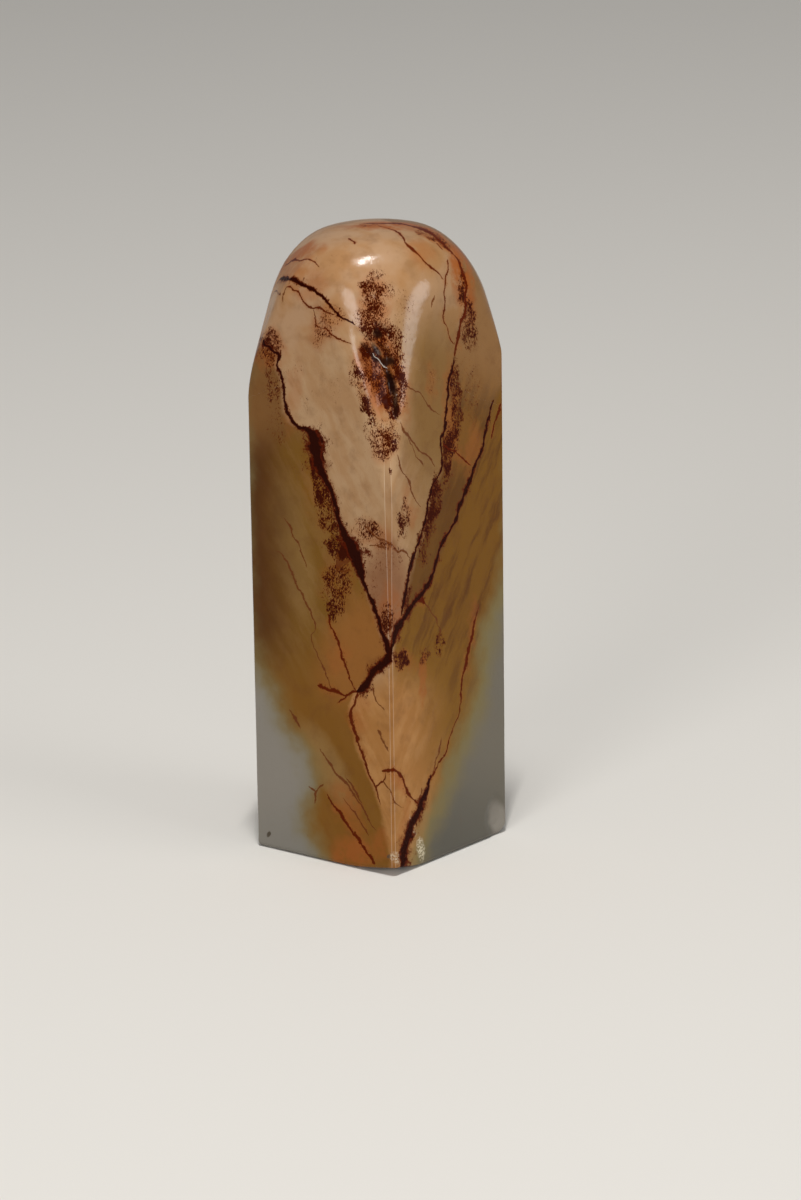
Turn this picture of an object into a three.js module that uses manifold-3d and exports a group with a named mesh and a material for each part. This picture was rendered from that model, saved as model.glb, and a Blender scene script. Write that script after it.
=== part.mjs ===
// A stone seal, cut and polished from one block: an upright with four flat faces, a low domed
// head, a thin bevel down each upright edge, and a seal face carved in relief underneath.
// The seal rests on its seal face at z = 0, with its middle at x = y = 0. Millimetres, +Z up.
// The front upright edge is the one between the -Y and +X faces.
import * as THREE from 'three';
import { mergeVertices } from 'three/addons/utils/BufferGeometryUtils.js';
import Module from 'manifold-3d';

// The block
const footWidthX = 24.5;
const footWidthY = 25.5;
const height = 88.4;
const headSpread = 0.3; // how much wider the block is where the head begins
const edgeBevel = 0.5; // width of the thin flat down each upright edge
const footRadius = 0.7; // rounding round the seal face

// The domed head
const headLength = 20;
const crownRadius = 28;
const crownShiftX = 0.5; // the crown is ground a little off the middle
const crownShiftY = 0.4;
const shoulderRadius = 5;
const headCornerRadius = 14; // radius that the upright corners grow to at the very top
const cornerGrowth = 1.2; // how late in the head the corners round off

// The flats ground on two corners of the head, measured down from the top
const frontFlatLength = 32.9;
const frontFlatLean = 11.3; // degrees from upright
const leftFlatLength = 21.1;
const leftFlatLean = 18;

// The natural hollows in the front flat, measured up from the flat's lower tip
const hollows = [
  { up: 17.2, across: -0.8, length: 7.4, width: 2.6, depth: 0.9, turn: 38 },
  { up: 13.0, across: 0.9, length: 6.2, width: 1.7, depth: 0.7, turn: 6 },
];

// Wear at the foot: how far a worn corner is cut back up its edge and along its two faces
const frontWear = { rise: 1.3, alongX: 8, alongY: 7 };
const rightWear = { rise: 1.2, alongX: 1.2, alongY: 2.2 };

// The shell-shaped flake lost from the +X face beside the right corner of the foot
const flakeWidth = 4.2;
const flakeHeight = 6.4;
const flakeDepth = 0.4;
const flakeInset = 2.5; // from the corner to the flake's middle
const flakeLevel = 3.1; // height of its middle
const flakeRound = 3; // how many times deeper its cutter is than the flake

// The seal face: a raised frame and a flower, with the ground round them cut back
const carvingDepth = 0.9;
const frameWidth = 1.4;
const frameCornerRadius = 1.6;
const budRadius = 1.7;
const petals = 8;
const petalStart = 2.6;
const petalLength = 6.4;
const petalWidth = 3.3;
const petalVein = 0.7; // width of the groove cut down each petal
const cornerLeafRadius = 3.1;
const cornerLeafWidth = 1.1;

// Fineness of the mesh
const pointsPerSide = 15;
const headRows = 26;
const footRows = 3;
const arcPoints = 12;
const dentSegments = 28;

const wasm = await Module();
wasm.setup();

const toRadians = THREE.MathUtils.degToRad;
const farAway = 4 * height; // size of a cutter that reaches past the block
const headBase = height - headLength;

// A closed three.js geometry as a solid that can be joined and cut.
function solidOf(geometry) {
  const bare = geometry.clone();
  bare.deleteAttribute('normal');
  bare.deleteAttribute('uv');
  const merged = mergeVertices(bare, 1e-4);
  return new wasm.Manifold(new wasm.Mesh({
    numProp: 3,
    vertProperties: merged.attributes.position.array,
    triVerts: new Uint32Array(merged.index.array),
  }));
}

function geometryOf(solid) {
  const mesh = solid.getMesh();
  const geometry = new THREE.BufferGeometry();
  geometry.setAttribute('position', new THREE.BufferAttribute(mesh.vertProperties, 3));
  geometry.setIndex(new THREE.BufferAttribute(mesh.triVerts, 1));
  const faceted = geometry.toNonIndexed();
  faceted.computeVertexNormals();
  return faceted;
}

// The block's half widths at a height.
function halfWidthsAt(z) {
  const spread = headSpread / 2 * Math.min(z / headBase, 1);
  return [footWidthX / 2 + spread, footWidthY / 2 + spread];
}

// Two surfaces that meet at an edge of the given radius, as signed distances.
function roundedMeet(a, b, radius) {
  const outside = Math.hypot(Math.max(a + radius, 0), Math.max(b + radius, 0));
  return Math.min(-radius, Math.max(a, b)) + outside;
}

// Signed distance from the uncut block, negative inside it.
function blockDistance({ x, y, z }) {
  const [halfX, halfY] = halfWidthsAt(z);
  const intoHead = THREE.MathUtils.clamp((z - headBase) / headLength, 0, 1);
  const radius = headCornerRadius * intoHead ** cornerGrowth;
  const pastX = Math.abs(x) - halfX;
  const pastY = Math.abs(y) - halfY;
  const rounded = Math.hypot(Math.max(pastX + radius, 0), Math.max(pastY + radius, 0))
    + Math.min(Math.max(pastX, pastY) + radius, 0) - radius;
  const bevel = (pastX + pastY) * Math.SQRT1_2 + edgeBevel / 2;
  const crown = Math.hypot(x - crownShiftX, y - crownShiftY, z - height + crownRadius) - crownRadius;
  const sides = Math.max(rounded, bevel);
  return roundedMeet(roundedMeet(sides, crown, shoulderRadius), -z, footRadius);
}

// Where the ray from a point inside the block towards a target leaves the block.
function surfaceToward(from, target) {
  const way = target.clone().sub(from).normalize();
  let inside = 0;
  let outside = farAway;
  for (let step = 0; step < 48; step += 1) {
    const middle = (inside + outside) / 2;
    const isInside = blockDistance(from.clone().addScaledVector(way, middle)) < 0;
    inside = isInside ? middle : inside;
    outside = isInside ? outside : middle;
  }
  return from.clone().addScaledVector(way, inside);
}

// Points round the block's outline, closer together near the corners and one at each bevel's edge.
function outlineOf(halfX, halfY) {
  const inset = edgeBevel * Math.SQRT1_2;
  const spread = (half) => Array.from({ length: pointsPerSide }, (_, i) => (
    Math.sin(Math.PI * (i / (pointsPerSide - 1) - 0.5)) * (half - inset)));
  const alongX = spread(halfX);
  const alongY = spread(halfY);
  return [
    ...alongX.map((x) => [x, -halfY]),
    ...alongY.map((y) => [halfX, y]),
    ...alongX.map((x) => [-x, halfY]),
    ...alongY.map((y) => [-halfX, -y]),
  ];
}

// The uncut block as rings of points from the seal face to the crown.
function block() {
  const rings = [];
  const spine = (z) => new THREE.Vector3(0, 0, z);
  for (let row = 0; row <= footRows; row += 1) {
    const turn = Math.PI / 2 * row / footRows;
    const inset = footRadius * (1 - Math.sin(turn));
    const z = footRadius * (1 - Math.cos(turn));
    rings.push(outlineOf(footWidthX / 2 - inset, footWidthY / 2 - inset)
      .map(([x, y]) => new THREE.Vector3(x, y, z)));
  }
  const outline = outlineOf(...halfWidthsAt(headBase));
  for (let row = 0; row < headRows; row += 1) {
    const turn = Math.PI / 2 * row / headRows;
    rings.push(outline.map(([x, y]) => surfaceToward(spine(headBase), new THREE.Vector3(
      x * Math.cos(turn), y * Math.cos(turn), headBase + headLength * Math.sin(turn)))));
  }
  const around = outline.length;
  const points = [...rings.flat(), spine(0), surfaceToward(spine(headBase), spine(height))];
  const footMiddle = points.length - 2;
  const top = points.length - 1;
  const faces = [];
  for (let i = 0; i < around; i += 1) {
    const next = (i + 1) % around;
    faces.push(footMiddle, next, i);
    for (let ring = 0; ring < rings.length - 1; ring += 1) {
      const low = ring * around;
      const high = low + around;
      faces.push(low + i, low + next, high + next, low + i, high + next, high + i);
    }
    const last = (rings.length - 1) * around;
    faces.push(last + i, last + next, top);
  }
  const geometry = new THREE.BufferGeometry();
  geometry.setAttribute('position', new THREE.Float32BufferAttribute(points.flatMap((p) => p.toArray()), 3));
  geometry.setIndex(faces);
  return solidOf(geometry);
}

// Everything beyond a plane, out to where the block ends.
function beyond(point, outward) {
  const geometry = new THREE.BoxGeometry(farAway, farAway, farAway);
  geometry.translate(0, 0, farAway / 2);
  geometry.applyQuaternion(new THREE.Quaternion().setFromUnitVectors(new THREE.Vector3(0, 0, 1), outward));
  geometry.translate(...point.toArray());
  return solidOf(geometry);
}

// The frame of a flat on one corner of the head: its lower tip, and unit vectors out, up and across.
function cornerFlat(signX, signY, length, lean) {
  const z = height - length;
  const [halfX, halfY] = halfWidthsAt(z);
  const inset = edgeBevel * Math.SQRT1_2 / 2;
  const tip = new THREE.Vector3(signX * (halfX - inset), signY * (halfY - inset), z);
  const diagonal = new THREE.Vector3(signX, signY, 0).normalize();
  const upright = new THREE.Vector3(0, 0, 1);
  const outward = diagonal.clone().multiplyScalar(Math.cos(toRadians(lean)))
    .addScaledVector(upright, Math.sin(toRadians(lean)));
  const across = upright.clone().cross(diagonal);
  const up = outward.clone().cross(across);
  return { tip, outward, across, up };
}

// A shallow oval dent in a flat.
function hollowIn(flat, { up, across, length, width, depth, turn }) {
  const geometry = new THREE.SphereGeometry(1, dentSegments, dentSegments / 2);
  geometry.scale(width / 2, length / 2, depth);
  geometry.rotateZ(toRadians(turn));
  const place = new THREE.Matrix4().makeBasis(flat.across, flat.up, flat.outward);
  place.setPosition(flat.tip.clone().addScaledVector(flat.up, up).addScaledVector(flat.across, across));
  geometry.applyMatrix4(place);
  return solidOf(geometry);
}

// The wedge worn off one corner of the foot.
function wornCorner(signX, signY, { rise, alongX, alongY }) {
  const [cornerX, cornerY] = [signX * footWidthX / 2, signY * footWidthY / 2];
  const high = new THREE.Vector3(cornerX, cornerY, rise);
  const outward = new THREE.Vector3(signX / alongX, signY / alongY, -1 / rise).normalize();
  return beyond(high, outward);
}

// The flake: the cap of an oval that reaches into the +X face.
function flake() {
  const reach = flakeDepth * flakeRound;
  const out = reach - flakeDepth;
  const widening = 1 / Math.sqrt(1 - (out / reach) ** 2);
  const geometry = new THREE.SphereGeometry(1, dentSegments, dentSegments / 2);
  geometry.scale(reach, flakeWidth / 2 * widening, flakeHeight / 2 * widening);
  geometry.translate(footWidthX / 2 + out, footWidthY / 2 - flakeInset, flakeLevel);
  return solidOf(geometry);
}

// A flat outline made into a cutter from below the foot up to the carving's depth.
function carvingTool(shape, depth = carvingDepth) {
  const geometry = new THREE.ExtrudeGeometry(shape, {
    depth: depth * 2, bevelEnabled: false, curveSegments: arcPoints,
  });
  geometry.translate(0, 0, -depth);
  return solidOf(geometry);
}

function roundedRectangle(width, depth, radius) {
  const [x, y] = [width / 2, depth / 2];
  const shape = new THREE.Shape();
  shape.moveTo(-x + radius, -y);
  shape.lineTo(x - radius, -y).absarc(x - radius, -y + radius, radius, -Math.PI / 2, 0);
  shape.lineTo(x, y - radius).absarc(x - radius, y - radius, radius, 0, Math.PI / 2);
  shape.lineTo(-x + radius, y).absarc(-x + radius, y - radius, radius, Math.PI / 2, Math.PI);
  shape.lineTo(-x, -y + radius).absarc(-x + radius, -y + radius, radius, Math.PI, Math.PI * 1.5);
  return shape;
}

// A pointed petal that lies along +X from its root.
function petalShape() {
  const [root, tip] = [petalStart, petalStart + petalLength];
  const side = petalWidth / 2;
  const shape = new THREE.Shape();
  shape.moveTo(root, 0);
  shape.bezierCurveTo(root + petalLength * 0.1, -side, tip - petalLength * 0.35, -side * 1.4, tip, 0);
  shape.bezierCurveTo(tip - petalLength * 0.35, side * 1.4, root + petalLength * 0.1, side, root, 0);
  return shape;
}

function veinShape() {
  const [from, to] = [petalStart + petalLength * 0.25, petalStart + petalLength * 0.75];
  const shape = new THREE.Shape();
  shape.moveTo(from, 0);
  shape.lineTo((from + to) / 2, -petalVein / 2);
  shape.lineTo(to, 0);
  shape.lineTo((from + to) / 2, petalVein / 2);
  return shape;
}

// A curved leaf that fills one corner of the frame, as part of a ring round that corner.
function cornerLeafShape(groundX, groundY) {
  const centre = [groundX / 2, groundY / 2];
  const shape = new THREE.Shape();
  shape.absarc(...centre, cornerLeafRadius, Math.PI * 1.1, Math.PI * 1.4);
  shape.absarc(...centre, cornerLeafRadius - cornerLeafWidth, Math.PI * 1.4, Math.PI * 1.1, true);
  return shape;
}

// What is cut away under the seal to leave the frame and the flower standing.
function carving() {
  const groundX = footWidthX - 2 * (footRadius + frameWidth);
  const groundY = footWidthY - 2 * (footRadius + frameWidth);
  let ground = carvingTool(roundedRectangle(groundX, groundY, frameCornerRadius));
  const bud = new THREE.Shape();
  bud.absarc(0, 0, budRadius, 0, Math.PI * 2);
  ground = ground.subtract(carvingTool(bud, carvingDepth * 1.5));
  for (let i = 0; i < petals; i += 1) {
    const turn = 360 * i / petals;
    const petal = carvingTool(petalShape(), carvingDepth * 1.5).rotate([0, 0, turn]);
    ground = ground.subtract(petal.subtract(carvingTool(veinShape(), carvingDepth * 2).rotate([0, 0, turn])));
  }
  for (const [signX, signY] of [[1, 1], [-1, 1], [-1, -1], [1, -1]]) {
    const leaf = carvingTool(cornerLeafShape(groundX, groundY), carvingDepth * 1.5);
    const flipped = leaf.scale([signX, signY, 1]);
    ground = ground.subtract(flipped);
  }
  return ground;
}

function sealStone() {
  const front = cornerFlat(1, -1, frontFlatLength, frontFlatLean);
  const left = cornerFlat(-1, -1, leftFlatLength, leftFlatLean);
  let stone = block();
  for (const flat of [front, left]) {
    stone = stone.subtract(beyond(flat.tip, flat.outward));
  }
  for (const hollow of hollows) {
    stone = stone.subtract(hollowIn(front, hollow));
  }
  stone = stone.subtract(wornCorner(1, -1, frontWear)).subtract(wornCorner(1, 1, rightWear));
  return stone.subtract(flake()).subtract(carving());
}

const stoneMaterial = new THREE.MeshStandardMaterial({ color: 0xa87b4e, roughness: 0.25, metalness: 0 });
const stone = new THREE.Mesh(geometryOf(sealStone()), stoneMaterial);
stone.name = 'seal_stone';

const seal = new THREE.Group();
seal.add(stone);
export default seal;
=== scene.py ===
"""The looks of a stone seal: one polished block of honey and cream stone with iron-brown veins.

Sizes here are millimetres, and become metres when the mesh is made. The front upright edge of the
stone, nearest the camera, lies between its -Y and +X faces.
"""

import math

import bmesh
import bpy
import numpy as np
from mathutils import Matrix, Quaternion, Vector, noise


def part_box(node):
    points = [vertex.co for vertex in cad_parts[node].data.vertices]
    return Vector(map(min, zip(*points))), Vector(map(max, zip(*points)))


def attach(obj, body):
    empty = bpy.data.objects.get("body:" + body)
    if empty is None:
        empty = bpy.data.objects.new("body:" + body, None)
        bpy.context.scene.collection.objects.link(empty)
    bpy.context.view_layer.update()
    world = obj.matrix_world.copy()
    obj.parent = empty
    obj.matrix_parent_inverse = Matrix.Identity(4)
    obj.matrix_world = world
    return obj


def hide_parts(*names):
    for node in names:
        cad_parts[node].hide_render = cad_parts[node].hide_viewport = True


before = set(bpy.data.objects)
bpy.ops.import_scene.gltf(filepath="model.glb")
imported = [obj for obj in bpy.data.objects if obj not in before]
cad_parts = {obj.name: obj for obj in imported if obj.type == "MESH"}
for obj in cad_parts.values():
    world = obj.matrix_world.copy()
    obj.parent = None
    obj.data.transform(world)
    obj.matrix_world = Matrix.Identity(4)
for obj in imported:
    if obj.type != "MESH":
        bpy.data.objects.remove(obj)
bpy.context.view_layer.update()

MM = 0.001

# The block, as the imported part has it
LOWEST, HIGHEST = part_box("seal_stone")
HEAD_SPREAD = 0.3
FOOT_X = (HIGHEST.x - LOWEST.x) / MM - HEAD_SPREAD
FOOT_Y = (HIGHEST.y - LOWEST.y) / MM - HEAD_SPREAD
HEIGHT = HIGHEST.z / MM
HEAD_LENGTH = 20
HEAD_BASE = HEIGHT - HEAD_LENGTH
FOOT_RADIUS = 0.7
CROWN_RADIUS = 28
CROWN_SHIFT = (0.5, 0.4)
SHOULDER_RADIUS = 5
HEAD_CORNER_RADIUS = 14
CORNER_GROWTH = 1.2

# The thin bevel down each upright edge, and where the front one was rubbed wider
BEVEL = 0.5
WIDE_BEVEL = 0.45
WIDE_BEVEL_LEVEL = 54
WIDE_BEVEL_LENGTH = 9

# The flats ground on two corners of the head: corner, length down from the top, lean in degrees
FRONT_FLAT = ((1, -1), 32.9, 11.3)
LEFT_FLAT = ((-1, -1), 21.1, 18)

# The ridges of the flats, and the front one's, which are softer towards the top
RIDGE_RADIUS = 0.9
TIGHT_RIDGE = 0.85
SOFT_RIDGE = 3.2
SOFTER_FROM = 66
SOFTER_TO = 81

# Wear at two corners of the foot: corner, rise up the edge, reach along each face
WORN_CORNERS = [((1, -1), 1.3, (8, 7)), ((1, 1), 1.2, (1.2, 2.2))]
WEAR_RADIUS = 0.35

# The flake lost from the +X face beside the right corner of the foot
FLAKE_WIDTH = 4.2
FLAKE_HEIGHT = 6.4
FLAKE_INSET = 2.5
FLAKE_LEVEL = 3.1
FLAKE_DEPTH = 0.36
FLAKE_RIPPLE = 0.12

# The natural hollow in the front flat, measured up from the flat's tip and across it. The place of its
# deepest line and how far it spreads to either side are given for its lower and its upper end.
HOLLOW_FROM = 6.5
HOLLOW_TO = 19.6
HOLLOW_DEPTH = 1.0
HOLLOW_MIDDLE = (1.1, -0.4)
HOLLOW_LEFT = (1.1, 4.0)
HOLLOW_RIGHT = (0.7, 1.9)
HOLLOW_LIP_SLOPE = 0.75

# The small pocket above the hollow
POCKET_UP = 21.6
POCKET_ACROSS = 0.1
POCKET_SLOPE = 0.8
POCKET_LENGTH = 1.6
POCKET_WIDTH = 2.4
POCKET_DEPTH = 0.45

# The pitted column over and under the hollow
PITTED_FROM = 4
PITTED_TO = 30
PITTED_FADE = 3
PITTED_MIDDLE = (0.5, -0.5)
PITTED_HALF_WIDTH = 2.4
PIT_DEPTH = 0.1
PIT_SIZE = 0.75

# How far in front of or behind the flat its hollow and pits are looked for
FLAT_REACH = 1.5

# The slight unevenness of hand polish
UNDULATION = 0.05
UNDULATION_SIZE = 9

# The seal face
CARVING_DEPTH = 0.9
FRAME_WIDTH = 1.4
FRAME_CORNER_RADIUS = 1.6
BUD_RADIUS = 1.7
PETALS = 8
PETAL_START = 2.6
PETAL_LENGTH = 6.4
PETAL_WIDTH = 3.3
PETAL_VEIN = 0.7
LEAF_RADIUS = 3.1
LEAF_WIDTH = 1.1

# The slight wobble of its hand-cut outlines. Unless it is given a seed, its noise follows the clock.
WOBBLE = 0.07
WOBBLE_SIZE = 1.4
WOBBLE_LEVEL = 3.7
WOBBLE_SEED = 1

# Fineness of the mesh
FRAME_STEP = 0.8
EDGE_STEP = 0.14
STEP_GROWTH = 1.15
WIDEST_STEP = 0.45
SIDE_POINTS = 65
HEAD_ROWS = 50
FOOT_ROWS = 8
SEARCH_STEPS = 40
SEARCH_REACH = 40
SHARP_ANGLE = math.radians(28)

# Rows between the foot's rounding and the head: (from, to, step). They are closest beside the worn
# foot, and close again beside the hollow.
ROW_BANDS = [
    (FOOT_RADIUS + 0.15, 1.6, 0.15), (1.7, 7.2, 0.22), (7.5, 54, 0.75), (54.2, HEAD_BASE - 0.1, 0.32),
]


def half_widths(z):
    spread = HEAD_SPREAD / 2 * np.minimum(z / HEAD_BASE, 1)
    return FOOT_X / 2 + spread, FOOT_Y / 2 + spread


def rounded_meet(a, b, radius):
    """Two surfaces that meet at an edge of the given radius, as signed distances."""
    outside = np.hypot(np.maximum(a + radius, 0), np.maximum(b + radius, 0))
    return np.minimum(-radius, np.maximum(a, b)) + outside


def front_bevel(z):
    """Width of the front edge's bevel, which is wider where it was rubbed."""
    away = (z - WIDE_BEVEL_LEVEL) / WIDE_BEVEL_LENGTH
    return BEVEL + WIDE_BEVEL * np.exp(-away * away)


def flat_frame(flat):
    """A flat's lower tip, and its outward, up and across directions."""
    (sign_x, sign_y), length, lean = flat
    z = HEIGHT - length
    half_x, half_y = half_widths(z)
    inset = BEVEL * math.sqrt(0.5) / 2
    tip = np.array([sign_x * (half_x - inset), sign_y * (half_y - inset), z])
    tilt = math.radians(lean)
    diagonal = np.array([sign_x, sign_y, 0]) * math.sqrt(0.5)
    upright = np.array([0.0, 0.0, 1.0])
    outward = diagonal * math.cos(tilt) + upright * math.sin(tilt)
    across = np.cross(upright, diagonal)
    return tip, outward, np.cross(outward, across), across


def stone_distance(points):
    """Signed distance from the stone before its small dents, negative inside."""
    x, y, z = points.T
    half_x, half_y = half_widths(np.maximum(z, 0))
    into_head = np.clip((z - HEAD_BASE) / HEAD_LENGTH, 0, 1)
    radius = HEAD_CORNER_RADIUS * into_head ** CORNER_GROWTH
    past_x, past_y = np.abs(x) - half_x, np.abs(y) - half_y
    corner = np.hypot(np.maximum(past_x + radius, 0), np.maximum(past_y + radius, 0))
    rounded = corner + np.minimum(np.maximum(past_x, past_y) + radius, 0) - radius
    bevel_width = np.where((x > 0) & (y < 0), front_bevel(z), BEVEL)
    sides = np.maximum(rounded, (past_x + past_y) * math.sqrt(0.5) + bevel_width / 2)
    softer = np.clip((z - SOFTER_FROM) / (SOFTER_TO - SOFTER_FROM), 0, 1)
    front_ridge = TIGHT_RIDGE + (SOFT_RIDGE - TIGHT_RIDGE) * softer
    for flat, ridge in ((FRONT_FLAT, front_ridge), (LEFT_FLAT, RIDGE_RADIUS)):
        tip, outward, _, _ = flat_frame(flat)
        sides = rounded_meet(sides, (points - tip) @ outward, ridge)
    over_middle = np.maximum(z - HEIGHT + CROWN_RADIUS, 0)
    crown = np.hypot(np.hypot(x - CROWN_SHIFT[0], y - CROWN_SHIFT[1]), over_middle) - CROWN_RADIUS
    body = rounded_meet(rounded_meet(sides, crown, SHOULDER_RADIUS), -z, FOOT_RADIUS)
    for (sign_x, sign_y), rise, (along_x, along_y) in WORN_CORNERS:
        slope = np.array([sign_x / along_x, sign_y / along_y, -1 / rise])
        high_point = np.array([sign_x * FOOT_X / 2, sign_y * FOOT_Y / 2, rise])
        wear = (points - high_point) @ slope / np.linalg.norm(slope)
        body = rounded_meet(body, wear, WEAR_RADIUS)
    return body


def surface_toward(origins, targets):
    """Where the rays from inside the stone towards the targets leave it."""
    ways = targets - origins
    ways /= np.linalg.norm(ways, axis=1)[:, None]
    inside = np.zeros(len(origins))
    outside = np.full(len(origins), float(SEARCH_REACH))
    for _ in range(SEARCH_STEPS):
        middle = (inside + outside) / 2
        is_inside = stone_distance(origins + ways * middle[:, None]) < 0
        inside = np.where(is_inside, middle, inside)
        outside = np.where(is_inside, outside, middle)
    return origins + ways * inside[:, None]


def outward_normals(points, reach=0.04):
    steps = np.eye(3) * reach
    slopes = [stone_distance(points + step) - stone_distance(points - step) for step in steps]
    slopes = np.stack(slopes, axis=1)
    return slopes / np.maximum(np.linalg.norm(slopes, axis=1), 1e-9)[:, None]


def lumps(points, size, octaves=1, seed=0):
    """Smooth noise from -1 to 1, with lumps of about the given size."""
    offset = Vector((seed * 17.3, seed * 5.1, seed * 9.7))
    return np.array([noise.fractal(Vector(p) / size + offset, 0.8, 2.0, octaves) for p in points])


def smooth_step(value, start, end):
    t = np.clip((value - start) / (end - start), 0, 1)
    return t * t * (3 - 2 * t)


def on_front_flat(points):
    """How far up and across the front flat the points are, and whether they are near it."""
    tip, outward, up, across = flat_frame(FRONT_FLAT)
    offsets = points - tip
    return offsets @ up, offsets @ across, np.abs(offsets @ outward) < FLAT_REACH


def hollow_depth(points):
    """The hollow and its pocket: a ramp down from the left under a steep upper right lip."""
    along, side, close = on_front_flat(points)
    side = side + 0.25 * lumps(points, 1.6, 2, seed=3)
    along = along + 0.35 * lumps(points, 1.3, 2, seed=4)
    climb = np.clip((along - HOLLOW_FROM) / (HOLLOW_TO - HOLLOW_FROM), 0, 1)
    ends = (HOLLOW_MIDDLE, HOLLOW_LEFT, HOLLOW_RIGHT)
    middle, left, right = [low + (high - low) * climb for low, high in ends]
    ramp = np.clip(1 - (middle - side) / left, 0, 1)
    wall = 1 - smooth_step(side - middle, 0.35 * right, right)
    profile = np.where(side < middle, ramp ** 1.5, wall)
    lip = 1 - smooth_step(along - HOLLOW_TO + HOLLOW_LIP_SLOPE * (side - middle), -0.5, 0.3)
    depth = HOLLOW_DEPTH * smooth_step(climb, 0, 0.75) * profile * lip
    pocket_side = (side - POCKET_ACROSS) / (POCKET_WIDTH / 2)
    pocket_along = along - POCKET_UP + POCKET_SLOPE * (side - POCKET_ACROSS)
    pocket = 1 - pocket_side ** 2 - (pocket_along / (POCKET_LENGTH / 2)) ** 2
    return np.maximum(depth, POCKET_DEPTH * np.clip(pocket, 0, 1) ** 0.6) * close


def pitted_depth(points):
    """Small pits in the brown column that runs up the front flat."""
    along, side, close = on_front_flat(points)
    low, high = PITTED_MIDDLE
    away = np.abs(side - low - (high - low) * along / PITTED_TO)
    inside = 1 - smooth_step(away, PITTED_HALF_WIDTH * 0.5, PITTED_HALF_WIDTH)
    inside = inside * smooth_step(along, PITTED_FROM, PITTED_FROM + PITTED_FADE)
    inside = inside * (1 - smooth_step(along, PITTED_TO - PITTED_FADE, PITTED_TO))
    grain = np.clip(lumps(points, PIT_SIZE, 3, seed=7) * 1.6, 0, 1)
    return PIT_DEPTH * inside * grain * close


def flake_depth(points):
    """The shell-shaped flake, sharp at its lower left and fading to the top and right."""
    x, y, z = points.T
    side = (FOOT_Y / 2 - FLAKE_INSET - y) / (FLAKE_WIDTH / 2)
    rise = (z - FLAKE_LEVEL) / (FLAKE_HEIGHT / 2)
    wobble = 0.07 * lumps(points, 1.5, 2, seed=11)
    away = np.hypot(side, rise) + wobble
    shell = np.clip(1 - away ** 2, 0, 1)
    sharp_side = 0.5 + 0.5 * np.clip(side - 0.4 * rise, -1, 1)
    bowl = shell ** (1.3 - 0.95 * sharp_side)
    ripples = 1 + FLAKE_RIPPLE * np.sin(away * 16)
    return np.where(x > FOOT_X / 2 - 1, FLAKE_DEPTH * bowl * ripples, 0)


def side_fractions():
    """Places across a side from -1 to 1, closer together near its two edges."""
    half = (SIDE_POINTS - 1) // 2
    steps = np.minimum(EDGE_STEP * STEP_GROWTH ** np.arange(half), WIDEST_STEP)
    inward = np.concatenate([[0], np.cumsum(steps)]) / steps.sum()
    left = inward - 1
    return np.concatenate([left, -left[-2::-1]])


def outline(half_x, half_y, inset):
    """Points round the block's plan, from the -Y side's left end, counter-clockwise from above.
    The front edge's bevel may be wider than the others'."""
    part = side_fractions()
    bevel_inset = BEVEL * math.sqrt(0.5)
    front = 0.5 + 0.5 * part
    near_x = (half_x - bevel_inset) * part + (bevel_inset - inset) * front ** 6
    near_y = (half_y - bevel_inset) * part - (bevel_inset - inset) * (1 - front) ** 6
    plain_x = (half_x - bevel_inset) * part
    plain_y = (half_y - bevel_inset) * part
    return np.concatenate([
        np.stack([near_x, np.full(len(part), -half_y)], axis=1),
        np.stack([np.full(len(part), half_x), near_y], axis=1),
        np.stack([-plain_x, np.full(len(part), half_y)], axis=1),
        np.stack([np.full(len(part), -half_x), -plain_y], axis=1),
    ])


def row_levels():
    """Heights of the rows below the head."""
    rounding = FOOT_RADIUS * (1 - np.cos(np.linspace(0.03, math.pi / 2, FOOT_ROWS)))
    return np.concatenate([rounding, *[np.arange(*band) for band in ROW_BANDS]])


def block_points():
    """Points of the stone's skin: rings up to the top of the head, then a grid over its crown."""
    origins, targets = [], []
    for z in row_levels():
        ring = outline(*half_widths(z), front_bevel(z) * math.sqrt(0.5))
        origins.append(np.tile([0, 0, z], (len(ring), 1)))
        targets.append(np.column_stack([ring, np.full(len(ring), z)]))
    half_x, half_y = half_widths(HEAD_BASE)
    ring = outline(half_x, half_y, BEVEL * math.sqrt(0.5))
    for rise in np.linspace(0, HEAD_LENGTH, HEAD_ROWS):
        origins.append(np.tile([0, 0, HEAD_BASE], (len(ring), 1)))
        targets.append(np.column_stack([ring, np.full(len(ring), HEAD_BASE + rise)]))
    inset = BEVEL * math.sqrt(0.5)
    part = side_fractions()
    grid_y, grid_x = np.meshgrid((half_y - inset) * part, (half_x - inset) * part, indexing="ij")
    crown = np.column_stack([grid_x.ravel(), grid_y.ravel(), np.full(grid_x.size, HEIGHT)])
    origins.append(np.tile([0, 0, HEAD_BASE], (len(crown), 1)))
    targets.append(crown)
    return surface_toward(np.concatenate(origins).astype(float), np.concatenate(targets))


def block_faces():
    """Four-sided faces between the rings and over the crown, and one face underneath."""
    count = SIDE_POINTS
    around = 4 * count
    rings = len(row_levels()) + HEAD_ROWS
    faces = [list(range(around))[::-1]]
    for ring in range(rings - 1):
        low_ring = ring * around
        for i in range(around):
            after = (i + 1) % around
            faces.append([low_ring + i, low_ring + after, low_ring + around + after, low_ring + around + i])
    last = (rings - 1) * around
    crown = rings * around
    end = count - 1
    sides = [
        [crown + i for i in range(count)],
        [crown + i * count + end for i in range(count)],
        [crown + end * count + end - i for i in range(count)],
        [crown + (end - i) * count for i in range(count)],
    ]
    for side, inner in enumerate(sides):
        rim = [last + side * count + i for i in range(count)]
        for i in range(end):
            faces.append([rim[i], rim[i + 1], inner[i + 1], inner[i]])
        next_rim = last + (side + 1) % 4 * count
        faces.append([rim[end], next_rim, inner[end]])
    for row in range(end):
        for i in range(end):
            corner = crown + row * count + i
            faces.append([corner, corner + 1, corner + count + 1, corner + count])
    return faces


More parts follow.
